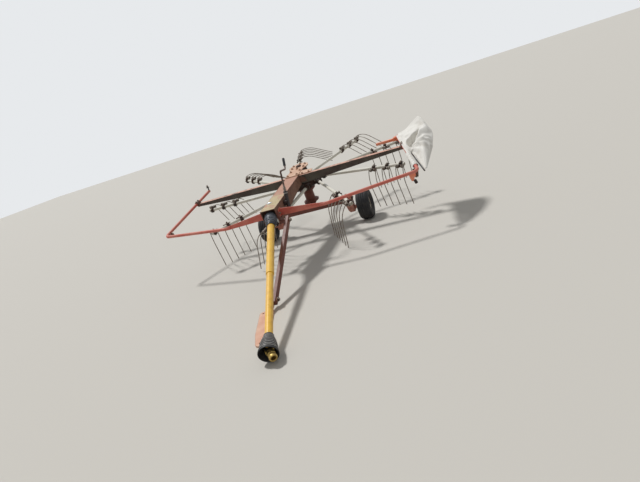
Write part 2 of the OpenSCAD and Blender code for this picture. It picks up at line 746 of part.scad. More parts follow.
module shaft_core() {
    color("dimgray") shaft_frame() difference() {
        union() {
            translate([-fork_in, -core_up / 2, -core_up / 2]) cube([2 * fork_in, core_up, core_up / 2 + 48]);
            cylinder(r = core_r, h = shield_len - 240);
            translate([0, 0, cone_len - 66]) cylinder(r = inner_r + 1 - RUN, h = 24);
        }
        rotate([0, 90, 0]) cylinder(r = pin_r, h = 4 * fork_in, center = true);
    }
}

module shaft_tube_outer() {
    color("gold") shaft_frame() translate([0, 0, cone_len - 74]) difference() {
        cylinder(r = shield_r, h = shield_len);
        translate([0, 0, -1]) cylinder(r = inner_r + 1, h = shield_len + 2);
    }
}

tube_lap = 300;
tube_short = 60;
inner_wall = 3;

module shaft_tube_inner() {
    color("gold") shaft_frame() translate([0, 0, shield_len - tube_lap])
        difference() {
            cylinder(r = inner_r, h = shaft_len - shield_len + tube_lap - tube_short);
            translate([0, 0, -1]) cylinder(r = inner_r - inner_wall, h = shaft_len);
        }
}

module shaft_cone_lower() {
    color("dimgray") shaft_frame() translate([0, 0, shaft_reach]) mirror([0, 0, 1])
        cone_shell(foot_cone_r, inner_r, 7, 0);
}

// Lower joint: the inner fork turns in the inner tube, and the end yoke swings on the fork's pin
swing_z = shaft_len + 10;
yoke_in = 24;
yoke_base = 24;
fork_out = 33;
stem_len = 130;
collar_out = 105;
yoke_bore_len = 50;

module shaft_fork() {
    color("darkgoldenrod") shaft_frame() translate([0, 0, swing_z]) difference() {
        union() {
            rotate([-90, 0, 0]) rotate([0, 90, 0]) fork(yoke_in, fork_out, inner_r - inner_wall - RUN);
            translate([0, 0, -stem_len])
                cylinder(r = inner_r - inner_wall - RUN, h = stem_len - fork_out - fork_wall + 4);
        }
        rotate([90, 0, 0]) cylinder(r = pin_r, h = 4 * yoke_in, center = true);
    }
}

module shaft_yoke() {
    color("darkgoldenrod") shaft_frame() translate([0, 0, swing_z]) difference() {
        union() {
            rotate([90, 0, 0]) cylinder(r = pin_r - RUN, h = 2 * (yoke_in + fork_t), center = true);
            rotate([0, yoke_swing, 0]) {
                translate([-11, -11, -11]) cube([22, 22, 22]);
                rotate([0, 90, 0]) cylinder(r = pin_r, h = 2 * yoke_in + 4, center = true);
                rotate([90, 0, 0]) fork(yoke_in, yoke_base, inner_r - 4);
                translate([0, 0, yoke_base + 4]) cylinder(r = inner_r, h = collar_out - yoke_base - 4);
            }
        }
        rotate([0, yoke_swing, 0]) translate([0, 0, collar_out - yoke_bore_len])
            cylinder(r = yoke_bore_r, h = yoke_bore_len + 1);
    }
}

// Curtain: a slide bar with a rising rear rod, a hem rod, and the canvas over both
socket_wall = 3;
socket_in = 60;
socket_len = 55;
saddle_w = 36;
slide_y = -guard_rear + 22;
slide_z = 762;
slide_in = 247;
rod_foot = [guard_rear_w + 8, slide_y, slide_z];
rod_tip = [guard_rear_w + canvas_reach, slide_y, slide_z + canvas_rise];

module curtain_socket() {
    half = slide_w / 2 + SEAT;
    color("darkorange") park() difference() {
        union() {
            translate([guard_rear_w - socket_in, slide_y - half - socket_wall, slide_z - half - socket_wall])
                cube([socket_len, 2 * (half + socket_wall), 2 * (half + socket_wall)]);
            translate([guard_rear_w - 4 - saddle_w, -guard_rear - 40, slide_z - 2])
                cube([saddle_w, slide_y - half - 1.5 + guard_rear + 40, guard_rear_z - slide_z + 4]);
        }
        translate([guard_rear_w - socket_in - 1, slide_y - half, slide_z - half])
            cube([socket_len + 2, 2 * half, 2 * half]);
        bar(guard_c, guard_d + guard_dir, guard_r + SEAT);
    }
}

module curtain_bar() {
    color("darkorange") park() {
        translate([guard_rear_w - slide_in, slide_y - slide_w / 2, slide_z - slide_w / 2])
            cube([slide_in + 18, slide_w, slide_w]);
        bar(rod_foot, rod_tip, rear_rod_r);
    }
}

// Hem rod along the outside of the guard tube, from the rear rod's foot to the front
hem_points = [
    [guard_rear_w + 62, slide_y, slide_z + 33], [guard_rear_w + 76, slide_y - 100, slide_z + 8],
    [guard_rear_w + 145, -500, 717], [guard_rear_w + 256, -862, 641]];

module curtain_rod() {
    color("black") park() difference() {
        bent_bar(hem_points, hem_rod_r, 60);
        bar(rod_foot, rod_tip, rear_rod_r + SEAT);
    }
}

// Canvas stations from the rear rod to the front tip: [y, [x, z] of four points of the underside]
canvas_rows = [
    [slide_y + 4, [[12, 52], [100, 72], [190, 127.5], [262, 171.4]]],
    [-120, [[10, 46], [70, 51], [200, 82], [318, 126]]],
    [-240, [[37, 38], [110, 36], [250, 48], [372, 62]]],
    [-340, [[62, 31], [150, 40], [270, 64], [376, 34]]],
    [-450, [[118, 4], [190, 20], [280, 40], [366, 8]]],
    [-560, [[160, -30], [220, 0], [290, 10], [355, -18]]],
    [slide_y - canvas_len + 44, [[246, -112], [258, -106], [268, -104], [280, -108]]]];
canvas_t = 12;

module curtain_canvas() {
    k = 4;
    n = 2 * k;
    rows = len(canvas_rows);
    pts = [for (row = canvas_rows) each concat(
        [for (q = row[1]) [guard_rear_w + q[0], row[0], slide_z + q[1]]],
        [for (j = [k - 1 : -1 : 0]) [guard_rear_w + row[1][j][0], row[0], slide_z + row[1][j][1] + canvas_t]])];
    ring = [for (i = [0 : rows - 2], j = [0 : n - 1]) each [
        [i * n + (j + 1) % n, i * n + j, (i + 1) * n + j],
        [i * n + (j + 1) % n, (i + 1) * n + j, (i + 1) * n + (j + 1) % n]]];
    cap = [for (j = [0 : k - 2]) each [[j, j + 1, n - 2 - j], [j, n - 2 - j, n - 1 - j]]];
    far = (rows - 1) * n;
    color("white") park() polyhedron(points = pts, convexity = 4,
        faces = concat(cap, ring, [for (f = cap) [far + f[2], far + f[1], far + f[0]]]));
}

// Canvas strip wound round the guard tube, in front of the curtain
sleeve_from = 0.57;
sleeve_to = 0.88;
strip_t = 13;

module tube_sleeve() {
    color("white") park() difference() {
        bar(guard_d + (guard_c - guard_d) * sleeve_from, guard_d + (guard_c - guard_d) * sleeve_to, guard_r + strip_t);
        bar(guard_d, guard_c, guard_r + SEAT);
    }
}

box_beam();
crossbeam();
hub_plate();
gearbox();
mast();
undercarriage();
axle(1);  // axle_left
axle(-1);  // axle_right
guard(1);  // guard_left
guard(-1);  // guard_right
guard_clamp(1);  // guard_clamp_left
guard_clamp(-1);  // guard_clamp_right
corner_plate(1);  // corner_plate_left
corner_plate(-1);  // corner_plate_right
crank_sleeve();
crank_handle();
drawbar_hanger();
drawbar();
hitch_plate();
curtain_socket();
input_shaft();
bearing_plate();
rotor_hub();
arm(ARMS[0]);  // arm_1
arm(ARMS[1]);  // arm_2
arm(ARMS[2]);  // arm_3
arm(ARMS[3]);  // arm_4
arm(ARMS[4]);  // arm_5
arm(ARMS[5]);  // arm_6
arm(ARMS[6]);  // arm_7
arm(ARMS[7]);  // arm_8
arm(ARMS[8]);  // arm_9
tines(ARMS[0]);  // tines_1
tines(ARMS[1]);  // tines_2
tines(ARMS[2]);  // tines_3
tines(ARMS[3]);  // tines_4
tines(ARMS[4]);  // tines_5
tines(ARMS[5]);  // tines_6
tines(ARMS[6]);  // tines_7
tines(ARMS[7]);  // tines_8
tines(ARMS[8]);  // tines_9
tyre(1);  // tyre_left
tyre(-1);  // tyre_right
rim(1);  // rim_left
rim(-1);  // rim_right
shaft_core();
shaft_cone_upper();
shaft_tube_outer();
shaft_tube_inner();
shaft_cone_lower();
shaft_fork();
shaft_yoke();
curtain_bar();
curtain_canvas();
curtain_rod();
tube_sleeve();
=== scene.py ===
"""Looks of a drawn rotary hay rake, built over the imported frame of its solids."""
from __future__ import annotations

import logging
import math
from dataclasses import dataclass
from enum import Enum
from typing import Callable, Sequence
import bmesh
import bpy
from mathutils import Euler, Matrix, Vector, noise


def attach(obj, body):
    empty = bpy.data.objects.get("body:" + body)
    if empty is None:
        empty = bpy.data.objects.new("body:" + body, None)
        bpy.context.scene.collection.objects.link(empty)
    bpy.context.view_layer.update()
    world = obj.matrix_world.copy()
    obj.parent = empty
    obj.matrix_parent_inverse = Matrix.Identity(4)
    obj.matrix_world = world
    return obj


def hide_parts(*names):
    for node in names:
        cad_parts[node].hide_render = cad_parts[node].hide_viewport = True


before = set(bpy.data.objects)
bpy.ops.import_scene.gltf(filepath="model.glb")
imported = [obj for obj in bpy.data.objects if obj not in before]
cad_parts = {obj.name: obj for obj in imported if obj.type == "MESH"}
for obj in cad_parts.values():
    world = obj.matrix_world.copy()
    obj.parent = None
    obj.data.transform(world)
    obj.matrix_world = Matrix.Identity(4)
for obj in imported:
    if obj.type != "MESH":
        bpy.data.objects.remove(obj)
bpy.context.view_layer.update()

log = logging.getLogger("hay_rake")

Rgb = tuple[float, float, float]
Point = tuple[float, float, float]
Rows = Sequence[tuple[float, Sequence[tuple[float, float]]]]


class Side(Enum):
    """The machine's left (+X) and right (-X)."""

    LEFT = 1
    RIGHT = -1


class Body(Enum):
    """The bodies that new pieces ride on."""

    ROOT = "root"
    ROTOR = "rotor"
    WHEEL_LEFT = "wheel_left"
    WHEEL_RIGHT = "wheel_right"
    SHAFT_UPPER = "shaft_upper"
    SHAFT_LOWER = "shaft_lower"
    YOKE = "yoke"
    CURTAIN = "curtain"


def moved(x: float, y: float, z: float) -> Matrix:
    """Gives a move by three distances."""
    return Matrix.Translation((x, y, z))


def turned(angle: float, axis: str) -> Matrix:
    """Gives a turn about an axis by an angle in degrees."""
    return Matrix.Rotation(math.radians(angle), 4, axis)


@dataclass(frozen=True)
class Layout:
    """Sizes and places shared with the solids, in metres and degrees, machine level."""

    hitch_x: float = 0.217
    hitch_reach: float = 2.534
    park_tilt: float = 8.6
    wheel_y: float = -0.195
    axle_z: float = 0.185
    tyre_r: float = 0.171
    tyre_w: float = 0.150
    rim_r: float = 0.078
    track: float = 1.230
    axle_shift: float = 0.040
    tip_r: float = 1.264
    arm_z: float = 0.572
    arm_r: float = 0.0175
    arm_offset: float = 0.120
    arm_turn: float = -15.0
    arm_step: float = 40.0
    drum_r: float = 0.190
    wire_r: float = 0.0045
    tine_h: float = 0.440
    tine_out: float = 35.0
    tine_in: float = 10.0
    coil_r: float = 0.019
    leg_gap: float = 0.082
    tine_pitch: float = 0.163
    clamp_inset: float = 0.038
    box_w: float = 0.152
    box_z: float = 0.815
    box_front: float = 1.285
    box_rear: float = 0.108
    box_rear_z: float = 0.756
    beam_y: float = -0.300
    beam_z: float = 0.758
    shaft_yaw: float = 13.4
    shaft_len: float = 1.720
    cone_r: float = 0.064
    foot_cone_r: float = 0.071
    cone_len: float = 0.170
    shield_r: float = 0.033
    inner_r: float = 0.0285
    yoke_bore_r: float = 0.0175
    yoke_swing: float = 20.0

    def park(self) -> Matrix:
        """Gives the move from the level machine to the parked one."""
        move = moved(-self.hitch_x, self.hitch_reach, self.tyre_r)
        tilt = turned(self.park_tilt, "X")
        return move @ tilt @ moved(0, -self.wheel_y, -self.axle_z)

    def box_top(self, y: float) -> float:
        """Gives the height of the box beam's top at a place along the machine."""
        rise = (self.box_z - self.box_rear_z) / (self.box_front - self.box_rear)
        return self.box_rear_z - rise * (y + self.box_rear)

    def on_box(self, x: float, y: float, lift: float = 0.0) -> Matrix:
        """Gives a frame on the box beam's sloping top.

        Args:
            x: Place across.
            y: Place along.
            lift: Height over the top.

        Returns:
            The frame, z square to the top, machine level.
        """
        slope = math.atan((self.box_z - self.box_rear_z) / (self.box_front - self.box_rear))
        turn = Matrix.Rotation(-slope, 4, "X")
        return moved(x, y, self.box_top(y)) @ turn @ moved(0, 0, lift)

    def tip_x(self) -> float:
        """Gives the distance along an arm's own axis to its tip."""
        return math.sqrt(self.tip_r ** 2 - self.arm_offset ** 2)

    def arm(self, ring: int, roll: float) -> Matrix:
        """Gives an arm's frame, x out along the arm and y leading.

        Args:
            ring: Place of the arm in the ring of nine.
            roll: Roll about the arm's own axis, in degrees.

        Returns:
            The matrix from the arm's frame to the parked machine.
        """
        lead = math.degrees(math.asin(self.arm_offset / self.tip_r))
        turn = turned(self.arm_turn + self.arm_step * ring - lead, "Z")
        out = moved(0, self.arm_offset, self.arm_z)
        return self.park() @ turn @ out @ turned(roll, "X")

    def joint_point(self) -> Vector:
        """Gives the drive shaft's upper joint, parked."""
        return self.park() @ Vector((0, -self.box_front + 0.023, 0.727))

    def shaft(self) -> Matrix:
        """Gives the drive shaft's frame, z running down the shaft from its upper joint."""
        joint = self.joint_point()
        reach = self.shaft_len + 0.060
        drop = math.asin(joint.z / math.hypot(reach, self.foot_cone_r))
        drop -= math.atan(self.foot_cone_r / reach)
        yaw = turned(self.shaft_yaw, "Z")
        return Matrix.Translation(joint) @ yaw @ Matrix.Rotation(math.pi / 2 + drop, 4, "X")

    def guard_points(self) -> list[Vector]:
        """Gives the left guard's seam, corner and rear end."""
        return [Vector((0.540, -1.200, 0.705)), Vector((1.400, -0.950, 0.692)),
                Vector((1.190, -0.035, 0.796))]


LAYOUT = Layout()
PARK = LAYOUT.park()


def shade(red: int, green: int, blue: int) -> Rgb:
    """Turns a colour of 0 to 255 into the linear colour that a shader takes.

    Args:
        red: Red share.
        green: Green share.
        blue: Blue share.

    Returns:
        The linear colour.
    """
    parts = [value / 255 for value in (red, green, blue)]
    return tuple(p / 12.92 if p <= 0.04045 else ((p + 0.055) / 1.055) ** 2.4 for p in parts)


def darker(colour: Rgb, share: float) -> Rgb:
    """Gives a colour with a share of its light."""
    return tuple(share * part for part in colour)


def mirrored(side: Side) -> Matrix:
    """Gives the mirror across the machine's middle for the right side, and no move for the left."""
    return Matrix.Scale(side.value, 4, (1, 0, 0))


def around(count: int, radius: float, first: float, height: float) -> list[Matrix]:
    """Gives places on a ring about z, none of them turned.

    Args:
        count: How many.
        radius: The ring's radius.
        first: Direction of the first, in degrees.
        height: The ring's height.

    Returns:
        The places.
    """
    turns = [math.radians(first + 360 / count * step) for step in range(count)]
    return [moved(radius * math.cos(turn), radius * math.sin(turn), height) for turn in turns]


def axes(origin: Sequence[float], along: Sequence[float], across: Sequence[float] = (0, 0, 1)) -> Matrix:
    """Makes a frame whose z runs along a direction.

    Args:
        origin: Where the frame stands.
        along: Direction of its z.
        across: Direction that its y leans to.

    Returns:
        The frame's matrix.
    """
    z = Vector(along).normalized()
    hint = Vector(across)
    if abs(z.dot(hint.normalized())) > 0.95:
        hint = Vector((0, 1, 0)) if abs(z.y) < 0.9 else Vector((1, 0, 0))
    x = hint.cross(z).normalized()
    y = z.cross(x)
    turn = Matrix((x, y, z)).transposed().to_4x4()
    return Matrix.Translation(Vector(origin)) @ turn


def spline_at(points: Sequence[Sequence[float]], share: float) -> tuple[float, float]:
    """Gives a point of a smooth line through points of a plane.

    Args:
        points: Two numbers for each point.
        share: How far along the line, from 0 to 1.

    Returns:
        The point's two numbers.
    """
    last = len(points) - 1
    spot = min(max(share, 0.0), 1.0) * last
    index = min(int(spot), last - 1)
    t = spot - index
    before = points[max(index - 1, 0)]
    here = points[index]
    there = points[index + 1]
    after = points[min(index + 2, last)]
    result = []
    for p0, p1, p2, p3 in zip(before, here, there, after):
        result.append(0.5 * (2 * p1 + (p2 - p0) * t + (2 * p0 - 5 * p1 + 4 * p2 - p3) * t * t
                             + (3 * p1 - p0 - 3 * p2 + p3) * t ** 3))
    return result[0], result[1]


def stock(bm: bmesh.types.BMesh, merge: float = 1e-6) -> bpy.types.Mesh:
    """Closes a form in the making and turns it into a mesh to be put in a piece.

    Args:
        bm: The form, which is freed.
        merge: Distance under which points are one.

    Returns:
        The mesh, its faces pointing outwards.
    """
    bmesh.ops.remove_doubles(bm, verts=bm.verts, dist=merge)
    bmesh.ops.recalc_face_normals(bm, faces=bm.faces)
    mesh = bpy.data.meshes.new("stock")
    bm.to_mesh(mesh)
    bm.free()
    return mesh


def block(size: Point, bevel: float) -> bpy.types.Mesh:
    """Makes a rectangular piece of metal with broken edges, about its middle.

    Args:
        size: Its length, width and height.
        bevel: Width of its broken edges.

    Returns:
        The mesh.
    """
    bm = bmesh.new()
    bmesh.ops.create_cube(bm, size=1.0, matrix=Matrix.Diagonal((*size, 1.0)))
    bmesh.ops.bevel(bm, geom=list(bm.edges), offset=bevel, segments=2, profile=0.5,
                    affect="EDGES", material=-1, clamp_overlap=True)
    return stock(bm)


def plate(outline: Sequence[tuple[float, float]], thick: float, bevel: float = 0.001) -> bpy.types.Mesh:
    """Makes a flat plate cut to an outline in x and y, standing on z = 0.

    Args:
        outline: Its corners in order.
        thick: Its thickness.
        bevel: Width of its broken edges.

    Returns:
        The mesh.
    """
    bm = bmesh.new()
    ring = [bm.verts.new((x, y, 0)) for x, y in outline]
    bmesh.ops.contextual_create(bm, geom=ring)
    raised = bmesh.ops.extrude_face_region(bm, geom=list(bm.faces), use_keep_orig=True)
    top = [e for e in raised["geom"] if isinstance(e, bmesh.types.BMVert)]
    bmesh.ops.translate(bm, verts=top, vec=(0, 0, thick))
    bmesh.ops.bevel(bm, geom=list(bm.edges), offset=bevel, segments=1, profile=0.5,
                    affect="EDGES", material=-1, clamp_overlap=True)
    return stock(bm)


def lathe(profile: Sequence[tuple[float, float]], steps: int = 48, closed: bool = False) -> bpy.types.Mesh:
    """Turns a profile of radius and height once round z.

    Args:
        profile: Radius and height of each point.
        steps: Faces round the form.
        closed: True where the profile's end joins its start.

    Returns:
        The mesh.
    """
    bm = bmesh.new()
    points = [bm.verts.new((max(r, 0.0), 0, z)) for r, z in profile]
    pairs = list(zip(points, points[1:]))
    if closed:
        pairs.append((points[-1], points[0]))
    edges = [bm.edges.new(pair) for pair in pairs]
    bmesh.ops.spin(bm, geom=points + edges, cent=(0, 0, 0), axis=(0, 0, 1), dvec=(0, 0, 0),
                   angle=2 * math.pi, steps=steps, use_merge=True, use_normal_flip=False, use_duplicate=False)
    return stock(bm, 1e-5)


def sweep(points: Sequence[Vector], radius: float | Sequence[float], sides: int = 12) -> bpy.types.Mesh:
    """Draws a round rod along a line of points and closes its ends.

    Args:
        points: The rod's middle line.
        radius: Its radius, or one for each point.
        sides: Faces round the rod.

    Returns:
        The mesh.
    """
    radii = [radius] * len(points) if isinstance(radius, (int, float)) else list(radius)
    tangents = [(b - a).normalized() for a, b in zip(points, points[1:])]
    directions = [tangents[0]]
    directions += [(a + b).normalized() for a, b in zip(tangents, tangents[1:])] + [tangents[-1]]
    bm = bmesh.new()
    here = axes(points[0], directions[0])
    made = bmesh.ops.create_circle(bm, cap_ends=False, segments=sides, radius=1.0,
                                   matrix=here @ Matrix.Scale(radii[0], 4))
    ring = list(made["verts"])
    edges = list(bm.edges)
    bmesh.ops.contextual_create(bm, geom=ring)
    for index in range(1, len(points)):
        turn = directions[index - 1].rotation_difference(directions[index]).to_matrix().to_4x4()
        there = Matrix.Translation(points[index]) @ turn @ Matrix.Translation(-points[index - 1]) @ here
        grown = bmesh.ops.extrude_edge_only(bm, edges=edges)
        ring = [e for e in grown["geom"] if isinstance(e, bmesh.types.BMVert)]
        edges = [e for e in grown["geom"]
                 if isinstance(e, bmesh.types.BMEdge) and all(v in ring for v in e.verts)]
        scale = Matrix.Scale(radii[index] / radii[index - 1], 4)
        bmesh.ops.transform(bm, matrix=there @ scale @ here.inverted(), verts=ring)
        here = there
    bmesh.ops.contextual_create(bm, geom=edges)
    return stock(bm)


def bolt(radius: float, head: float = 0.0) -> bpy.types.Mesh:
    """Makes a hexagon head on its washer with the end of its thread, standing on z = 0.

    Args:
        radius: Half of the width over the head's corners.
        head: Height of the head, or 0 for the usual one.

    Returns:
        The mesh.
    """
    tall = head or 0.8 * radius
    bm = bmesh.new()
    washer = 0.18 * radius
    bmesh.ops.create_cone(bm, cap_ends=True, segments=16, radius1=1.35 * radius, radius2=1.35 * radius,
                          depth=washer, matrix=moved(0, 0, washer / 2))
    made = bmesh.ops.create_cone(bm, cap_ends=True, segments=6, radius1=radius, radius2=radius,
                                 depth=tall, matrix=moved(0, 0, washer + tall / 2))
    rim = {e for v in made["verts"] if v.co.z > washer + tall / 2 for e in v.link_edges
           if all(w.co.z > washer + tall / 2 for w in e.verts)}
    bmesh.ops.bevel(bm, geom=list(rim), offset=0.16 * radius, segments=1, profile=0.5,
                    affect="EDGES", material=-1)
    bmesh.ops.create_cone(bm, cap_ends=True, segments=10, radius1=0.5 * radius, radius2=0.42 * radius,
                          depth=0.5 * radius, matrix=moved(0, 0, washer + tall + 0.2 * radius))
    return stock(bm)


def bead(points: Sequence[Vector], radius: float, seed: int = 1) -> bpy.types.Mesh:
    """Lays a weld bead with its ripples along a line.

    Args:
        points: The bead's line.
        radius: Its half width.
        seed: Number that sets its unevenness.

    Returns:
        The mesh.
    """
    line: list[Vector] = []
    for a, b in zip(points, points[1:]):
        count = max(2, int((b - a).length / 0.003))
        line += [a.lerp(b, i / count) for i in range(count)]
    line.append(Vector(points[-1]))
    radii = [radius * (0.85 + 0.2 * (i % 2) + 0.15 * noise.noise(Vector((i * 0.7, seed, 0))))
             for i in range(len(line))]
    return sweep(line, radii, 6)


class Graph:
    """A material in the making: its shader and short ways to add nodes."""

    def __init__(self, name: str) -> None:
        """Starts a material with one principled shader.

        Args:
            name: The material's name.
        """
        self.material = bpy.data.materials.new(name)
        self.material.use_nodes = True
        self.tree = self.material.node_tree
        self.tree.nodes.clear()
        self.shader = self.tree.nodes.new("ShaderNodeBsdfPrincipled")
        out = self.tree.nodes.new("ShaderNodeOutputMaterial")
        self.tree.links.new(self.shader.outputs[0], out.inputs[0])
        self.coords = self.tree.nodes.new("ShaderNodeTexCoord").outputs["Object"]

    def add(self, kind: str, inputs: dict | None = None, **settings: object) -> bpy.types.Node:
        """Adds a node.

        Args:
            kind: The node's type name after ShaderNode.
            inputs: Value or socket for each input, by name or number.
            **settings: The node's own settings.

        Returns:
            The node.
        """
        node = self.tree.nodes.new("ShaderNode" + kind)
        for key, value in settings.items():
            setattr(node, key, value)
        for key, value in (inputs or {}).items():
            self.feed(node.inputs[key], value)
        return node

    def feed(self, socket: bpy.types.NodeSocket, value: object) -> None:
        """Links a socket, or sets its own value.

        Args:
            socket: The input.
            value: A socket, number, colour or vector.
        """
        if isinstance(value, bpy.types.NodeSocket):
            self.tree.links.new(value, socket)
        elif isinstance(value, tuple) and socket.type == "RGBA" and len(value) == 3:
            socket.default_value = (*value, 1.0)
        else:
            socket.default_value = value

    def place(self, scale: Point, turn: Point = (0, 0, 0)) -> bpy.types.NodeSocket:
        """Gives the object's coordinates, stretched and turned."""
        return self.add("Mapping", {"Vector": self.coords, "Scale": scale, "Rotation": turn}).outputs[0]

    def noise(self, scale: float, detail: float = 5, rough: float = 0.6, vector: object = None,
              distortion: float = 0.0) -> bpy.types.NodeSocket:
        """Gives a noise value about 0.5.

        Args:
            scale: Its fineness.
            detail: Layers of finer noise.
            rough: Strength of the finer layers.
            vector: Coordinates, or None for the object's own.
            distortion: How far it is warped.

        Returns:
            The value's socket.
        """
        return self.add("TexNoise", {"Vector": vector or self.coords, "Scale": scale, "Detail": detail,
                                     "Roughness": rough, "Distortion": distortion}).outputs[0]

    def ramp(self, value: object, low: float, high: float, bottom: float = 0.0,
             top: float = 1.0) -> bpy.types.NodeSocket:
        """Gives a smooth step of a value from bottom to top between low and high."""
        node = self.add("MapRange", {"Value": value, "From Min": low, "From Max": high, "To Min": bottom,
                                     "To Max": top}, interpolation_type="SMOOTHSTEP")
        return node.outputs[0]

    def calc(self, operation: str, one: object, two: object) -> bpy.types.NodeSocket:
        """Gives the result of a calculation with two values."""
        return self.add("Math", {0: one, 1: two}, operation=operation).outputs[0]

    def plus(self, one: object, two: object) -> bpy.types.NodeSocket:
        """Gives the sum of two values."""
        return self.calc("ADD", one, two)

    def times(self, one: object, two: object) -> bpy.types.NodeSocket:
        """Gives the product of two values."""
        return self.calc("MULTIPLY", one, two)

    def rest(self, value: object) -> bpy.types.NodeSocket:
        """Gives what a value lacks to 1."""
        return self.calc("SUBTRACT", 1.0, value)

    def blend(self, share: float, one: object, two: object) -> bpy.types.NodeSocket:
        """Gives a share of one value and the rest of another."""
        return self.plus(self.times(one, share), self.times(two, 1 - share))

    def mix(self, share: object, one: object, two: object) -> bpy.types.NodeSocket:
        """Gives a colour between two, by a share."""
        node = self.add("Mix", {"Factor": share, 6: one, 7: two}, data_type="RGBA")
        return node.outputs[2]

    def edges(self, radius: float) -> bpy.types.NodeSocket:
        """Gives a value that is high along the piece's sharp edges."""
        soft = self.add("Bevel", {"Radius": radius}, samples=4).outputs[0]
        flat = self.add("NewGeometry").outputs["Normal"]
        dot = self.add("VectorMath", {0: soft, 1: flat}, operation="DOT_PRODUCT").outputs["Value"]
        return self.ramp(dot, 0.985, 0.80)

    def upward(self, low: float = 0.5, high: float = 0.95) -> bpy.types.NodeSocket:
        """Gives a value that is high where a face looks up."""
        normal = self.add("NewGeometry").outputs["Normal"]
        height = self.add("SeparateXYZ", {0: normal}).outputs["Z"]
        return self.ramp(height, low, high)

    def bump(self, height: object, distance: float, strength: float = 1.0,
             normal: object = None) -> bpy.types.NodeSocket:
        """Gives a normal roughened by a height.

        Args:
            height: The height's socket.
            distance: Depth in metres of a height of 1.
            strength: Share of the effect.
            normal: A normal to add to.

        Returns:
            The normal's socket.
        """
        inputs = {"Height": height, "Distance": distance, "Strength": strength}
        if normal is not None:
            inputs["Normal"] = normal
        return self.add("Bump", inputs).outputs[0]

    def finish(self, colour: object, roughness: object, normal: object = None,
               **fixed: object) -> bpy.types.Material:
        """Wires the shader and gives the material.

        Args:
            colour: Base colour.
            roughness: Roughness.
            normal: Normal.
            **fixed: Constant values of other shader inputs, underscores for spaces.

        Returns:
            The finished material.
        """
        self.feed(self.shader.inputs["Base Color"], colour)
        self.feed(self.shader.inputs["Roughness"], roughness)
        if normal is not None:
            self.feed(self.shader.inputs["Normal"], normal)
        for key, value in fixed.items():
            self.feed(self.shader.inputs[key.replace("_", " ")], value)
        return self.material


@dataclass(frozen=True)
class PaintFinish:
    """Old paint that fades, chips at its edges and rusts; its upward faces take a tint that is dust on most
    paints and a painted highlight on the crossbeam.
    """

    name: str
    paint: Rgb
    faded: Rgb
    rust: Rgb = shade(86, 52, 38)
    rust_share: float = 0.35
    edge_wear: float = 0.35
    dust: float = 0.25
    dust_and_highlight_tone: Rgb = shade(176, 160, 142)
    roughness: float = 0.52

    def build(self) -> bpy.types.Material:
        """Builds the material."""
        g = Graph(self.name)
        patches = g.ramp(g.noise(5.5, 4, 0.55), 0.36, 0.66)
        base = g.mix(patches, self.paint, self.faded)
        mottle = g.noise(46, 7, 0.68)
        base = g.mix(g.ramp(mottle, 0.40, 0.75, 0.0, 0.35), base, self.faded)
        streaks = g.noise(1.0, 5, 0.6, g.place((55, 55, 9)))
        spots = g.blend(0.6, mottle, streaks)
        edge = g.edges(0.005)
        worn = g.plus(spots, g.times(edge, self.edge_wear))
        limit = 0.72 - 0.28 * self.rust_share
        rust = g.ramp(worn, limit, limit + 0.10)
        tone = g.mix(g.noise(120, 6, 0.7), self.rust, darker(self.rust, 0.55))
        colour = g.mix(rust, base, tone)
        # Upward faces tinted towards the dust and highlight tone: dust on most paints, a painted highlight on
        # the crossbeam's top flange.
        top = g.times(g.upward(), g.ramp(g.noise(14, 5, 0.6), 0.3, 0.7, 0.2, self.dust * 2))
        colour = g.mix(g.times(top, self.dust), colour, self.dust_and_highlight_tone)
        rough = g.ramp(rust, 0.0, 1.0, self.roughness, 0.88)
        rough = g.plus(rough, g.times(g.plus(mottle, -0.5), 0.22))
        pits = g.bump(g.noise(240, 6, 0.65), 0.0005, 0.5)
        normal = g.bump(g.rest(rust), 0.0006, 0.8, pits)
        return g.finish(colour, rough, normal, Specular_IOR_Level=0.38)


@dataclass(frozen=True)
class BeamFinish:
    """Sun-bleached paint of the box beam: a rubbed pale patch near its front, brown walls darkened with
    painted shade.
    """

    name: str = "bleached_beam_paint"
    top: Rgb = shade(182, 138, 118)
    # Painted shade: the walls' colour is darker than the sun-bleached top.
    wall: Rgb = shade(110, 78, 63)
    rubbed: Rgb = shade(190, 176, 138)
    rust: Rgb = shade(88, 54, 40)
    patch_from: float = 1.60
    patch_to: float = 1.84

    def build(self) -> bpy.types.Material:
        """Builds the material."""
        g = Graph(self.name)
        along = g.add("SeparateXYZ", {0: g.coords}).outputs["Y"]
        mottle = g.noise(38, 7, 0.68)
        clouds = g.noise(9, 5, 0.6, distortion=0.6)
        up = g.upward(0.6, 0.9)
        # Upward faces take the sun-bleached top, the others the walls' colour with its painted shade.
        base = g.mix(up, self.wall, self.top)
        base = g.mix(g.ramp(clouds, 0.35, 0.7, 0.0, 0.4), base, darker(self.top, 0.72))
        edge = g.edges(0.010)
        near = g.ramp(along, self.patch_to, self.patch_from + 0.10)
        rub = g.times(g.times(up, near), g.ramp(clouds, 0.34, 0.52))
        rub = g.times(rub, g.rest(g.times(edge, 0.9)))
        colour = g.mix(g.times(rub, 0.85), base, self.rubbed)
        streaks = g.noise(1.0, 5, 0.62, g.place((70, 70, 8)))
        worn = g.blend(0.55, mottle, streaks)
        worn = g.plus(worn, g.times(edge, 0.16))
        rust = g.ramp(worn, 0.56, 0.68)
        tone = g.mix(g.noise(140, 6, 0.7), self.rust, darker(self.rust, 0.5))
        colour = g.mix(rust, colour, tone)
        rough = g.ramp(mottle, 0.3, 0.7, 0.55, 0.85)
        normal = g.bump(g.noise(220, 6, 0.66), 0.0006, 0.5)
        normal = g.bump(g.rest(rust), 0.0006, 0.7, normal)
        return g.finish(colour, rough, normal, Specular_IOR_Level=0.35)


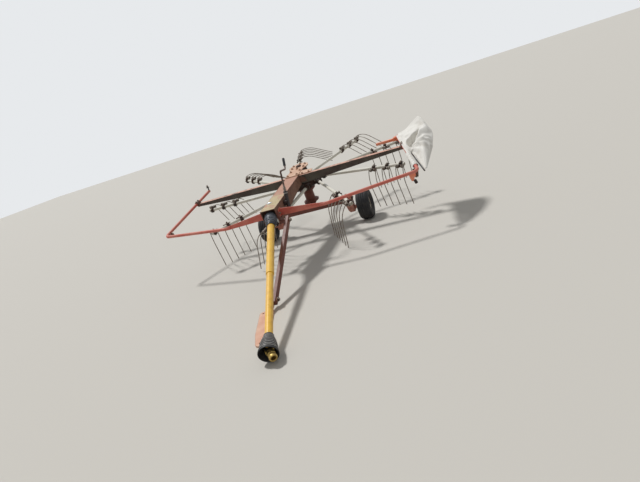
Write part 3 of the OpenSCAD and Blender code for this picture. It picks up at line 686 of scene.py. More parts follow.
@dataclass(frozen=True)
class SteelFinish:
    """Bare or greasy steel with a skin of rust."""

    name: str
    bare: Rgb
    rust: Rgb
    share: float = 0.5
    metal: float = 0.55
    roughness: float = 0.5
    scale: float = 60.0

    def build(self) -> bpy.types.Material:
        """Builds the material."""
        g = Graph(self.name)
        fine = g.noise(self.scale, 7, 0.7)
        broad = g.noise(self.scale / 7, 4, 0.55)
        mask = g.blend(0.55, fine, broad)
        middle = 0.62 - 0.22 * self.share
        rust = g.ramp(mask, middle - 0.06, middle + 0.06)
        tone = g.mix(g.noise(170, 5, 0.7), self.rust, darker(self.rust, 0.55))
        colour = g.mix(rust, self.bare, tone)
        rough = g.ramp(rust, 0.0, 1.0, self.roughness, 0.86)
        normal = g.bump(g.noise(260, 6, 0.7), 0.0004, 0.6)
        normal = g.bump(rust, 0.0004, 0.6, normal)
        return g.finish(colour, rough, normal, Metallic=self.metal)


@dataclass(frozen=True)
class PlasticFinish:
    """Moulded plastic, scuffed and dusty."""

    name: str
    tone: Rgb
    scuffed: Rgb
    roughness: float = 0.42
    dust: float = 0.3
    grime: Rgb = shade(70, 62, 54)

    def build(self) -> bpy.types.Material:
        """Builds the material."""
        g = Graph(self.name)
        haze = g.noise(18, 5, 0.6)
        fine = g.noise(150, 6, 0.66)
        colour = g.mix(g.ramp(haze, 0.4, 0.72), self.tone, self.scuffed)
        dirt = g.ramp(g.blend(0.5, haze, fine), 0.52, 0.66)
        colour = g.mix(g.times(dirt, self.dust), colour, self.grime)
        scratches = g.noise(1.0, 4, 0.6, g.place((30, 340, 340), (0.3, 0.2, 0.1)))
        rough = g.ramp(scratches, 0.35, 0.7, self.roughness - 0.06, self.roughness + 0.2)
        normal = g.bump(g.plus(fine, scratches), 0.0002, 0.4)
        return g.finish(colour, rough, normal, Specular_IOR_Level=0.45)


@dataclass(frozen=True)
class RubberFinish:
    """Weathered tyre rubber with dust in its grooves."""

    name: str = "tyre_rubber"
    tone: Rgb = shade(42, 42, 44)
    dusty: Rgb = shade(112, 104, 94)

    def build(self) -> bpy.types.Material:
        """Builds the material."""
        g = Graph(self.name)
        cloud = g.noise(13, 5, 0.62)
        fine = g.noise(190, 6, 0.7)
        mask = g.blend(0.65, cloud, fine)
        share = g.ramp(mask, 0.44, 0.72)
        colour = g.mix(g.times(share, 0.42), self.tone, self.dusty)
        cells = g.add("TexVoronoi", {"Vector": g.coords, "Scale": 150.0}, feature="DISTANCE_TO_EDGE")
        height = g.plus(g.ramp(cells.outputs[0], 0.0, 0.12), g.times(fine, 0.6))
        return g.finish(colour, g.ramp(fine, 0.3, 0.7, 0.62, 0.85), g.bump(height, 0.0004, 0.5),
                        Specular_IOR_Level=0.3)


@dataclass(frozen=True)
class CanvasFinish:
    """Coated off-white canvas with its weave and soft stains."""

    name: str = "canvas"
    tone: Rgb = shade(231, 228, 221)
    stained: Rgb = shade(190, 182, 168)
    yarn: float = 900.0

    def build(self) -> bpy.types.Material:
        """Builds the material."""
        g = Graph(self.name)
        uv = g.add("UVMap", uv_map="cloth").outputs[0]
        stain = g.ramp(g.noise(7, 6, 0.62, distortion=0.8), 0.50, 0.78)
        colour = g.mix(g.times(stain, 0.55), self.tone, self.stained)
        yarns = [g.add("TexWave", {"Vector": uv, "Scale": self.yarn / 6.28, "Distortion": 0.4},
                       bands_direction=way).outputs[1] for way in ("X", "Y")]
        weave = g.calc("MAXIMUM", *yarns)
        colour = g.mix(g.ramp(weave, 0.2, 0.9, 0.10, 0.0), colour, self.stained)
        wrinkles = g.noise(24, 5, 0.6, distortion=1.2)
        normal = g.bump(weave, 0.0003, 0.35)
        normal = g.bump(wrinkles, 0.0035, 0.55, normal)
        return g.finish(colour, g.ramp(wrinkles, 0.3, 0.7, 0.72, 0.86), normal, Specular_IOR_Level=0.3,
                        Sheen_Weight=0.15, Sheen_Roughness=0.5)


@dataclass(frozen=True)
class FloorFinish:
    """Plain pale floor."""

    name: str = "floor"
    tone: Rgb = shade(196, 192, 184)

    def build(self) -> bpy.types.Material:
        """Builds the material."""
        g = Graph(self.name)
        return g.finish(self.tone, 0.9)


Finish = PaintFinish | BeamFinish | SteelFinish | PlasticFinish | RubberFinish | CanvasFinish | FloorFinish

FINISHES: dict[str, Finish] = {finish.name: finish for finish in (
    PaintFinish("guard_red", shade(192, 86, 72), shade(206, 124, 108), rust_share=0.22,
                edge_wear=0.18, dust=0.4, dust_and_highlight_tone=shade(212, 134, 114), roughness=0.44),
    BeamFinish(),
    PaintFinish("faded_tan", shade(200, 157, 129), shade(216, 180, 154), rust_share=0.35, dust=0.2),
    PaintFinish("bracket_pink", shade(186, 116, 100), shade(198, 140, 122), rust_share=0.25, dust=0.1),
    PaintFinish("brown_steel", shade(92, 62, 50), shade(112, 80, 66), rust_share=0.5, dust=0.3),
    # Crossbeam: the paint is darkened as painted shade for its front face, and its upward faces take a pale
    # painted highlight.
    PaintFinish("web_shade_and_highlight", shade(66, 52, 46), shade(86, 80, 70), shade(54, 38, 32),
                rust_share=0.5, dust=0.95, dust_and_highlight_tone=shade(206, 160, 140), roughness=0.62),
    SteelFinish("dark_cast", shade(52, 46, 42), shade(78, 54, 44), 0.5, 0.25, 0.55, 34.0),
    PaintFinish("arm_paint", shade(206, 202, 188), shade(224, 220, 208), shade(112, 84, 64),
                rust_share=0.22, edge_wear=0.2, dust=0.0, roughness=0.5),
    SteelFinish("clamp_steel", shade(54, 44, 40), shade(84, 56, 46), 0.55, 0.3, 0.5, 80.0),
    SteelFinish("spring_steel", shade(146, 138, 128), shade(112, 90, 76), 0.45, 0.45, 0.45, 90.0),
    SteelFinish("zinc", shade(214, 216, 218), shade(150, 134, 116), 0.12, 0.8, 0.28, 90.0),
    SteelFinish("crank_steel", shade(138, 122, 114), shade(96, 68, 56), 0.45, 0.35, 0.45, 60.0),
    SteelFinish("bolt_steel", shade(150, 140, 128), shade(98, 68, 54), 0.5, 0.7, 0.45, 120.0),
    SteelFinish("black_steel", shade(44, 40, 40), shade(74, 54, 48), 0.4, 0.3, 0.42, 60.0),
    PaintFinish("faded_orange", shade(202, 148, 122), shade(218, 180, 154), rust_share=0.5, dust=0.2),
    PaintFinish("drawbar_brown", shade(104, 56, 46), shade(120, 74, 62), rust_share=0.45, dust=0.12),
    PaintFinish("orange_paint", shade(230, 122, 82), shade(236, 150, 118), rust_share=0.15,
                edge_wear=0.2, dust=0.3, dust_and_highlight_tone=shade(236, 160, 128), roughness=0.4),
    PaintFinish("rim_paint", shade(178, 170, 156), shade(196, 190, 178), rust_share=0.4, dust=0.1),
    RubberFinish(),
    PlasticFinish("black_plastic", shade(26, 28, 33), shade(48, 52, 60), 0.4, 0.2),
    PlasticFinish("grey_plastic", shade(42, 41, 42), shade(62, 60, 60), 0.5, 0.35, shade(84, 76, 68)),
    # Painted highlight: light bands on the rib crests of the drive shaft's cones.
    PlasticFinish("crest_highlight_plastic", shade(136, 142, 152), shade(104, 108, 116), 0.3, 0.3),
    PlasticFinish("foot_crest_highlight_plastic", shade(176, 172, 168), shade(140, 136, 132), 0.45, 0.4),
    PlasticFinish("ring_plastic", shade(176, 176, 172), shade(150, 148, 142), 0.5, 0.4),
    PlasticFinish("yellow_plastic", shade(238, 190, 70), shade(226, 174, 62), 0.27, 0.18,
                  shade(188, 142, 66)),
    PlasticFinish("amber_plastic", shade(236, 186, 68), shade(220, 168, 60), 0.29, 0.22,
                  shade(180, 132, 62)),
    SteelFinish("gold_zinc", shade(186, 158, 92), shade(120, 92, 56), 0.3, 0.85, 0.34, 70.0),
    CanvasFinish(),
    FloorFinish())}


class Shop:
    """Builds each finish once and hands out its material."""

    def __init__(self) -> None:
        """Starts with no material built."""
        self.ready: dict[str, bpy.types.Material] = {}

    def get(self, name: str) -> bpy.types.Material:
        """Gives the material of a finish."""
        if name not in self.ready:
            self.ready[name] = FINISHES[name].build()
        return self.ready[name]

    def dress(self, name: str, *nodes: str) -> None:
        """Gives some of the frame's own nodes a finish.

        Args:
            name: The finish.
            *nodes: The nodes' names.
        """
        for node in nodes:
            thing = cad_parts[node]
            if not thing.material_slots:
                thing.data.materials.append(None)
            for place in thing.material_slots:
                place.material = self.get(name)
            log.info("%s: dressed in %s", node, name)


SHOP = Shop()


class Piece:
    """A new piece of the rake: forms put together in one mesh."""

    def __init__(self, name: str, place: Matrix | None = None) -> None:
        """Starts an empty piece.

        Args:
            name: The piece's name.
            place: The move from the piece's own frame to the parked machine, or None for no move.
        """
        self.name = name
        self.place = place or Matrix.Identity(4)
        self.bm = bmesh.new()
        self.finishes: list[str] = []

    def put(self, form: bpy.types.Mesh, finish: str, *places: Matrix) -> None:
        """Adds a form at each of its places.

        Args:
            form: The form's mesh, which is used up.
            finish: Its finish.
            *places: Its places in the piece's frame, or none for that frame's origin.
        """
        if finish not in self.finishes:
            self.finishes.append(finish)
        for at in places or (Matrix.Identity(4),):
            start_v = len(self.bm.verts)
            start_f = len(self.bm.faces)
            self.bm.from_mesh(form)
            self.bm.verts.ensure_lookup_table()
            self.bm.faces.ensure_lookup_table()
            bmesh.ops.transform(self.bm, matrix=self.place @ at, verts=self.bm.verts[start_v:])
            for face in self.bm.faces[start_f:]:
                face.material_index = self.finishes.index(finish)
        bpy.data.meshes.remove(form)

    def rod(self, points: Sequence[Sequence[float]], radius: float, finish: str, sides: int = 16) -> None:
        """Adds a round rod along points.

        Args:
            points: Its ends and what lies between.
            radius: Its radius.
            finish: Its finish.
            sides: Faces round it.
        """
        self.put(sweep([Vector(p) for p in points], radius, sides), finish)

    def finish(self, body: Body, slot: str, replaces: Sequence[str] = (), angle: float = 35.0) -> None:
        """Makes the object, smooths it, and lets it ride on its body.

        Args:
            body: The body it moves with.
            slot: Not used.
            replaces: Nodes of the frame that it stands for.
            angle: Edges sharper than this stay sharp.
        """
        if self.place.determinant() < 0:
            bmesh.ops.reverse_faces(self.bm, faces=self.bm.faces)
        mesh = bpy.data.meshes.new(self.name)
        self.bm.to_mesh(mesh)
        self.bm.free()
        for name in self.finishes:
            mesh.materials.append(SHOP.get(name))
        mesh.polygons.foreach_set("use_smooth", [True] * len(mesh.polygons))
        mesh.set_sharp_from_angle(angle=math.radians(angle))
        thing = bpy.data.objects.new(self.name, mesh)
        bpy.context.scene.collection.objects.link(thing)
        if replaces:
            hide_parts(*replaces)
        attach(thing, body.value)
        log.info("%s: %d faces on %s", self.name, len(mesh.polygons), body.value)


@dataclass
class FrameBeams:
    """Box beam, crossbeam, hub plate and gearbox."""

    bolt_r: float = 0.010
    hub_ring: float = 0.082
    hub_top: float = 0.766
    plate_t: float = 0.0101
    dome_at: tuple[float, float] = (-0.042, -1.080)
    cleat_z: float = 0.682
    side_bolts: tuple[float, ...] = (-1.222, -1.178)
    gusset_t: float = 0.008

    def build(self) -> None:
        """Dresses the beams and adds their bolts, cleats and gusset."""
        SHOP.dress("bleached_beam_paint", "box_beam")
        SHOP.dress("faded_tan", "hub_plate")
        # The crossbeam's finish holds painted shade on its face and a painted highlight on its top.
        SHOP.dress("web_shade_and_highlight", "crossbeam")
        SHOP.dress("dark_cast", "gearbox", "mast", "input_shaft")
        SHOP.dress("brown_steel", "bearing_plate")
        self.hub_fasteners()
        self.beam_fittings()

    def hub_fasteners(self) -> None:
        """Adds the hub plate's bolts and its centre cap."""
        piece = Piece("hub_bolts", PARK)
        places = around(6, self.hub_ring, 30, self.hub_top)
        places += [LAYOUT.on_box(x, y, self.plate_t) for x in (-0.055, 0.055) for y in (-0.165, -0.310)]
        piece.put(bolt(self.bolt_r * 1.25), "faded_tan", *places)
        cap = lathe([(0, 0.016), (0.022, 0.015), (0.030, 0.009), (0.034, 0.0), (0.0, 0.0)], 32)
        piece.put(cap, "dark_cast", moved(0, 0, self.hub_top))
        piece.finish(Body.ROOT, "faded_tan")

    def beam_fittings(self) -> None:
        """Adds the crossbeam's cleats and gusset, and the box beam's bolts."""
        piece = Piece("beam_cleats", PARK)
        half = LAYOUT.box_w / 2
        places = []
        for side in (-1, 1):
            cleat = plate([(0, 0), (0.075, 0), (0.060, 0.050), (0, 0.070)], 0.007)
            at = axes((side * half, LAYOUT.beam_y - 0.030, self.cleat_z), (0, -1, 0), (0, 0, 1))
            if side < 0:
                at = at @ turned(180, "Y") @ moved(0, 0, -0.007)
            piece.put(cleat, "brown_steel", at)
            places += [axes((side * half, LAYOUT.beam_y + 0.055, z), (side, 0, 0)) for z in (0.695, 0.735)]
            places += [axes((side * (half + 0.007), y, 0.735), (side, 0, 0)) for y in self.side_bolts]
        piece.put(bolt(self.bolt_r), "bolt_steel", *places)
        washer = lathe([(0.0, 0.0), (0.0255, 0.0), (0.0262, 0.001), (0.0262, 0.003), (0.0250, 0.004),
                        (0.0, 0.004)], 36)
        dome = lathe([(0.0, 0.0135), (0.006, 0.0128), (0.011, 0.0100), (0.0135, 0.0060), (0.0140, 0.004),
                      (0.0, 0.004)], 28)
        for form in (washer, dome):
            piece.put(form, "zinc", LAYOUT.on_box(*self.dome_at))
        root = half + 0.001
        gusset = plate([(root, -0.300), (0.204, -0.300), (0.222, -0.284), (0.222, -0.226),
                        (0.206, -0.206), (root, -0.176)], self.gusset_t)
        low = LAYOUT.beam_z + 0.0003
        piece.put(gusset, "faded_tan", moved(0, 0, low))
        places = [moved(x, -0.289, low + self.gusset_t) for x in (0.112, 0.190)]
        piece.put(bolt(self.bolt_r), "faded_tan", *places)
        piece.finish(Body.ROOT, "brown_steel")


@dataclass
class Guards:
    """Side guards with their clamps and corner plates."""

    tube_r: float = 0.016
    corner_in: float = 0.076
    side_run: float = 0.915
    plate_t: float = 0.010

    def build(self) -> None:
        """Dresses both guards and adds their welds, clamp bolts and corner plates."""
        for side in Side:
            tail = side.name.lower()
            SHOP.dress("guard_red", f"guard_{tail}")
            SHOP.dress("brown_steel", f"guard_clamp_{tail}")
            self.fittings(side)
            self.corner(side)

    def corner(self, side: Side) -> None:
        """Builds the plate under a guard's corner, with the curtain's hook on the left one.

        Args:
            side: The guard's side.
        """
        _, corner, rear = LAYOUT.guard_points()
        spot = corner + (rear - corner) * (self.corner_in / self.side_run)
        drop = 0.098 if side is Side.LEFT else 0.055
        tail = side.name.lower()
        piece = Piece(f"corner_{tail}_cut", PARK @ mirrored(side) @ axes(spot, (0, -1, 0), (0, 0, 1)))
        saddle = [(0.0178 * math.cos(a), 0.0178 * math.sin(a) - 0.0005)
                  for a in [math.radians(-132 + 15.6 * step) for step in range(11)]]
        edge = [(0.040, -0.008), (0.044, -drop / 2), (0.030, -drop), (0.002, 0.006 - drop), (-0.012, -0.030)]
        piece.put(plate([(-x, y) for x, y in saddle + edge], self.plate_t, 0.0008), "brown_steel")
        piece.put(bolt(0.009), "bolt_steel", moved(-0.018, 0.014 - drop, self.plate_t))
        if side is Side.LEFT:
            hook = [(0.020, -0.034), (0.064, -0.034), (0.084, -0.056), (0.080, -0.092), (0.072, -0.118),
                    (0.060, -0.122), (0.046, -0.112), (0.040, -0.090), (0.022, -0.074)]
            form = plate([(-x, y) for x, y in hook], self.plate_t, 0.0008)
            piece.put(form, "orange_paint", moved(0, 0, 0.0101))
            grip = lathe([(0.0, 0.0), (0.012, 0.0), (0.015, 0.003), (0.015, 0.036), (0.012, 0.040),
                          (0.0, 0.040)], 24)
            piece.put(grip, "black_steel", axes((-0.044, -0.112, 0.012), (0.25, -0.9, 0.1)))
        piece.finish(Body.ROOT, "brown_steel", [f"corner_plate_{tail}"])

    def fittings(self, side: Side) -> None:
        """Adds one guard's small fittings.

        Args:
            side: The guard's side.
        """
        piece = Piece(f"guard_fittings_{side.name.lower()}", PARK @ mirrored(side))
        seam, corner, rear = LAYOUT.guard_points()
        ring = [seam + Vector((0, math.cos(a) * self.tube_r, math.sin(a) * self.tube_r))
                for a in [math.radians(20 * i) for i in range(19)]]
        piece.put(bead(ring, 0.0025), "guard_red")
        run = (rear - corner).normalized()
        cross = corner + (rear - corner) * ((LAYOUT.beam_y - corner.y) / (rear.y - corner.y))
        for shift in (-0.018, 0.018):
            spot = cross + run * shift + Vector((0, 0, 0.023))
            piece.put(bolt(0.0085), "bolt_steel", axes(spot, (0, 0, 1)))
        if side is Side.RIGHT:
            up = rear + Vector((0, 0, 0.012))
            piece.rod([up, up + Vector((0, 0, 0.052))], 0.008, "black_steel", sides=12)
            piece.rod([up + Vector((-0.020, 0, 0.036)), up + Vector((0.020, 0, 0.036))], 0.005, "black_steel")
            piece.put(bolt(0.011), "bolt_steel", axes(up + Vector((0, 0, 0.050)), (0, 0, 1)))
        piece.finish(Body.ROOT, "guard_red")


@dataclass
class Rotor:
    """Drum with the arms' bearing housings."""

    housing_r: float = 0.031
    housing_len: float = 0.105

    def build(self) -> None:
        """Dresses the drum and adds the housings and the cover's bolts."""
        SHOP.dress("dark_cast", "rotor_hub")
        piece = Piece("arm_housings")
        root = math.sqrt(LAYOUT.drum_r ** 2 - LAYOUT.arm_offset ** 2) - 0.004
        bore = LAYOUT.arm_r + 0.001
        r = self.housing_r
        shell = lathe([(bore, 0), (r, 0), (r, 0.060), (r + 0.008, 0.064), (r + 0.008, 0.078),
                       (r - 0.004, 0.082), (r - 0.006, self.housing_len), (bore, self.housing_len)], 28, True)
        ear = block((0.016, 0.020, 0.052), 0.003)
        rings = [LAYOUT.arm(ring, 0) for ring in range(9)]
        ears = [(ring, side) for ring in rings for side in (-1, 1)]
        piece.put(shell, "dark_cast", *[ring @ axes((root, 0, 0), (1, 0, 0)) for ring in rings])
        piece.put(ear, "dark_cast", *[ring @ moved(root + 0.028, side * 0.036, 0) for ring, side in ears])
        piece.put(bolt(0.008), "bolt_steel",
                  *[ring @ axes((root + 0.036, side * 0.038, 0.014), (1, 0, 0)) for ring, side in ears])
        piece.finish(Body.ROTOR, "brown_steel")


@dataclass(frozen=True)
class ArmPlan:
    """One arm of the rotor."""

    number: int
    ring: int
    roll: float


@dataclass
class RakeArm:
    """An arm tube with its tine clamps and its three double tines."""

    plan: ArmPlan
    clamp_half: float = 0.018
    full_turns: int = 3
    turn_steps: int = 14
    bend_steps: int = 8
    coil_start: float = 0.0115

    def frame(self) -> Matrix:
        """Gives the arm's own frame."""
        return LAYOUT.arm(self.plan.ring, self.plan.roll)

    def stations(self) -> list[float]:
        """Gives the three double tines' places along the arm."""
        out = LAYOUT.tip_x() - LAYOUT.clamp_inset
        return [out - step * LAYOUT.tine_pitch for step in range(3)]

    def build(self) -> None:
        """Builds the arm and its tines."""
        self.tube()
        self.tines()

    def tube(self) -> None:
        """Builds the tube, its clamps and their bolts."""
        piece = Piece(f"arm_{self.plan.number}_tube", self.frame())
        root = math.sqrt(LAYOUT.drum_r ** 2 - LAYOUT.arm_offset ** 2) - 0.002
        r = LAYOUT.arm_r
        tip = LAYOUT.tip_x()
        body = lathe([(0, root), (r, root), (r, tip - 0.001), (r - 0.001, tip), (r - 0.0035, tip),
                      (r - 0.0035, tip - 0.030), (0, tip - 0.030)], 28)
        piece.put(body, "arm_paint", axes((0, 0, 0), (1, 0, 0)))
        half = self.clamp_half
        wide = 2 * half
        band = lathe([(r, -half), (r + 0.006, -half), (r + 0.0072, 0.003 - half),
                      (r + 0.0072, half - 0.003), (r + 0.006, half), (r, half)], 28, True)
        lug = block((wide, 0.012, 0.026), 0.003)
        saddle = block((wide * 0.9, 0.030, 0.030), 0.003)
        cap = block((wide * 0.72, 0.046, 0.009), 0.002)
        spots = self.stations()
        piece.put(band, "clamp_steel", *[axes((x, 0, 0), (1, 0, 0)) for x in spots])
        for form, y, z in ((lug, 0.026, 0.002), (saddle, -0.032, -0.002), (cap, -0.010, 0.024)):
            piece.put(form, "clamp_steel", *[moved(x, y, z) for x in spots])
        heads = [((x, y, 0.028), (0, 0, 1)) for x in spots for y in (-0.022, 0.006)]
        heads += [((x, -0.010, -0.027), (0, 0, -1)) for x in spots]
        piece.put(bolt(0.0085), "bolt_steel", *[axes(spot, way) for spot, way in heads])
        piece.finish(Body.ROTOR, "arm_paint", [f"arm_{self.plan.number}"])

    def leg(self, side: int) -> list[Vector]:
        """Gives the wire's line from the clamp, round the coil, through its bend and straight to its tip.

        Args:
            side: 1 for the outer leg, -1 for the inner one.

        Returns:
            The line about the coils' middle.
        """
        coil = LAYOUT.coil_r - LAYOUT.wire_r
        away = math.radians(LAYOUT.tine_out)
        home = math.radians(LAYOUT.tine_in)
        turn = 2 * math.pi * self.full_turns + math.pi / 2 - away
        inner = self.coil_start
        outer = LAYOUT.leg_gap / 2
        line = [Vector((side * inner * 0.2, 0.012, coil)), Vector((side * inner, 0.006, coil))]
        steps = self.full_turns * self.turn_steps + 3
        for step in range(steps + 1):
            share = step / steps
            angle = math.pi / 2 + turn * share
            x = inner + (outer - inner) * share
            line.append(Vector((side * x, coil * math.cos(angle), coil * math.sin(angle))))
        y = -coil * math.cos(away)
        z = coil * math.sin(away)
        spread = math.sin(away) + math.sin(home) + (math.cos(home) - math.cos(away)) / math.tan(home)
        bend = (LAYOUT.tine_h + z) / spread
        for step in range(1, self.bend_steps + 1):
            angle = -away + (away + home) * step / self.bend_steps
            line.append(Vector((side * outer, y + bend * (math.cos(away) - math.cos(angle)),
                                z - bend * (math.sin(away) + math.sin(angle)))))
        run = bend * (math.cos(home) - math.cos(away)) / math.sin(home)
        line.append(line[-1] + run * Vector((0, math.sin(home), -math.cos(home))))
        return line

    def tines(self) -> None:
        """Builds the arm's three double tines."""
        piece = Piece(f"arm_{self.plan.number}_tines", self.frame())
        legs = [sweep(self.leg(side), LAYOUT.wire_r, 7) for side in (-1, 1)]
        depth = LAYOUT.arm_r + 0.008 + LAYOUT.coil_r
        for form in legs:
            piece.put(form, "spring_steel", *[moved(x, -depth, -0.004) for x in self.stations()])
        piece.finish(Body.ROTOR, "spring_steel", [f"tines_{self.plan.number}"], angle=50)


@dataclass
class Wheel:
    """A small ribbed tyre on its pressed rim."""

    side: Side
    rib_depth: float = 0.006
    rim_half: float = 0.046
    nut_ring: float = 0.046

    def body(self) -> Body:
        """Gives the wheel's body."""
        return Body.WHEEL_LEFT if self.side is Side.LEFT else Body.WHEEL_RIGHT

    def place(self) -> Matrix:
        """Gives the wheel's frame, z along the axle."""
        x = LAYOUT.axle_shift + self.side.value * LAYOUT.track / 2
        return PARK @ axes((x, LAYOUT.wheel_y, LAYOUT.axle_z), (self.side.value, 0, 0))

    def build(self) -> None:
        """Builds the tyre and the rim."""
        tail = self.side.name.lower()
        piece = Piece(f"tyre_{tail}_ribbed", self.place())
        piece.put(lathe(self.tyre_profile(), 72, True), "tyre_rubber")
        piece.finish(self.body(), "tyre", [f"tyre_{tail}"], angle=28)
        piece = Piece(f"rim_{tail}_pressed", self.place())
        half = self.rim_half
        r = LAYOUT.rim_r - 0.0004
        bore = 0.0126
        dish = [(bore, -half), (0.028, -half), (0.030, -0.040), (0.030, -0.010), (r - 0.012, -0.010),
                (r - 0.007, -0.018), (r - 0.007, -half), (r, -half), (r, half), (r - 0.006, half),
                (r - 0.008, half - 0.012), (r - 0.012, 0.010), (r - 0.020, 0.003), (0.034, 0.0),
                (0.030, 0.006), (0.028, half), (bore, half)]
        piece.put(lathe(dish, 64, True), "rim_paint")
        piece.put(bolt(0.008), "bolt_steel", *around(4, self.nut_ring, 45, 0.0025))
        cap = lathe([(0.0, half + 0.007), (0.017, half + 0.007), (0.021, half + 0.003), (0.021, half - 0.001),
                     (0.0127, half - 0.001)], 24)
        piece.put(cap, "dark_cast")
        piece.finish(self.body(), "rim_paint", [f"rim_{tail}"])

    def tyre_profile(self) -> list[tuple[float, float]]:
        """Gives the tyre's section: crowned ribbed tread, shoulders, sidewalls and beads."""
        r = LAYOUT.tyre_r
        w = LAYOUT.tyre_w / 2
        seat = LAYOUT.rim_r
        tread: list[tuple[float, float]] = []
        for centre in (-0.036, -0.012, 0.012, 0.036):
            crown = r - 0.0005 - 1.6 * centre ** 2
            tread += [(crown - self.rib_depth, centre - 0.0092), (crown - 0.0008, centre - 0.0080),
                      (crown, centre), (crown - 0.0008, centre + 0.0080),
                      (crown - self.rib_depth, centre + 0.0092)]
        side = [(r - 0.0075, 0.0490), (r - 0.012, 0.0590), (r - 0.020, w - 0.0045), (r - 0.034, w - 0.0008),
                (r - 0.048, w), (r - 0.051, w - 0.0025), (r - 0.054, w - 0.0012), (r - 0.066, w - 0.006),
                (seat + 0.020, w - 0.013), (seat + 0.006, w - 0.024), (seat, w - 0.030)]
        return [(a, -b) for a, b in reversed(side)] + tread + side


@dataclass
class Undercarriage:
    """Cross tube, axle brackets and their fasteners."""

    cheek_y: float = 0.0278
    cheek_x: float = 0.425
    face_x: float = 0.489

    def build(self) -> None:
        """Dresses the undercarriage and adds its bracket bolts."""
        SHOP.dress("drawbar_brown", "undercarriage")
        for side in Side:
            tail = side.name.lower()
            SHOP.dress("bracket_pink", f"axle_{tail}")
            place = PARK @ moved(LAYOUT.axle_shift, LAYOUT.wheel_y, 0)
            piece = Piece(f"axle_bolts_{tail}", place @ mirrored(side))
            heads = [((self.cheek_x, way * (self.cheek_y + 0.008), z), (0, way, 0))
                     for z in (0.292, 0.333) for way in (-1, 1)]
            heads += [((self.face_x, y, 0.300), (1, 0, 0)) for y in (-0.016, 0.016)]
            piece.put(bolt(0.012), "bolt_steel", *[axes(spot, way) for spot, way in heads])
            piece.finish(Body.ROOT, "brown_steel")


@dataclass(frozen=True)
class RibbedCone:
    """Moulded guard cone with ribs whose crests carry bands of painted highlight, its mouth at height 0."""

    mouth: float
    neck: float
    ribs: int
    bulge: float
    rim: float
    neck_len: float
    wall: float = 0.004
    collar: float = 0.008
    groove: float = 0.0052
    sides: int = 56

    def slope(self) -> float:
        """Gives the change of radius from rib to rib."""
        return (self.neck + self.collar - self.mouth) / self.ribs

    def step(self) -> float:
        """Gives the height of one rib."""
        return (LAYOUT.cone_len - self.neck_len - self.rim) / self.ribs

    def starts(self) -> list[tuple[float, float]]:
        """Gives the radius and height at which each rib starts."""
        spots = []
        for rib in range(self.ribs):
            share = rib / self.ribs
            swell = self.bulge * math.sin(math.pi * (share - 0.1) / 0.9) if share > 0.1 else 0.0
            spots.append((self.mouth + self.slope() * rib + swell, self.rim + self.step() * rib))
        return spots

    def crests(self) -> list[bpy.types.Mesh]:
        """Builds the band of painted highlight on each rib's crest."""
        slope = self.slope()
        step = self.step()
        bands = []
        for r, z in self.starts():
            low = r + slope * 0.6
            high = r + slope * 0.9
            section = [(low - 0.0010, z + step * 0.59), (low + 0.0004, z + step * 0.65),
                       (high + 0.0010, z + step * 0.88), (high - 0.0012, z + step * 0.98)]
            bands.append(lathe(section, self.sides, True))
        return bands

    def shell(self) -> bpy.types.Mesh:
        """Builds the cone's ribbed wall."""
        long = LAYOUT.cone_len
        slope = self.slope()
        step = self.step()
        mouth = self.mouth
        section = [(mouth - 0.0012, 0.0), (mouth, 0.0015), (mouth, self.rim - 0.002),
                   (mouth - 0.0015, self.rim)]
        for r, z in self.starts():
            section += [(r - self.groove, z + step * 0.14), (r - self.groove, z + step * 0.46),
                        (r + slope * 0.6, z + step * 0.58), (r + slope * 0.9, z + step * 0.94)]
        collar = self.neck + self.collar
        section += [(collar, long - self.neck_len + 0.004), (collar, long - 0.003), (collar - 0.002, long)]
        inside = self.neck + 0.0003
        section += [(inside, long), (inside, long - self.neck_len - 0.004),
                    (mouth - self.wall - 0.003, self.rim - 0.004), (mouth - self.wall, 0.0)]
        return lathe(section, self.sides, True)


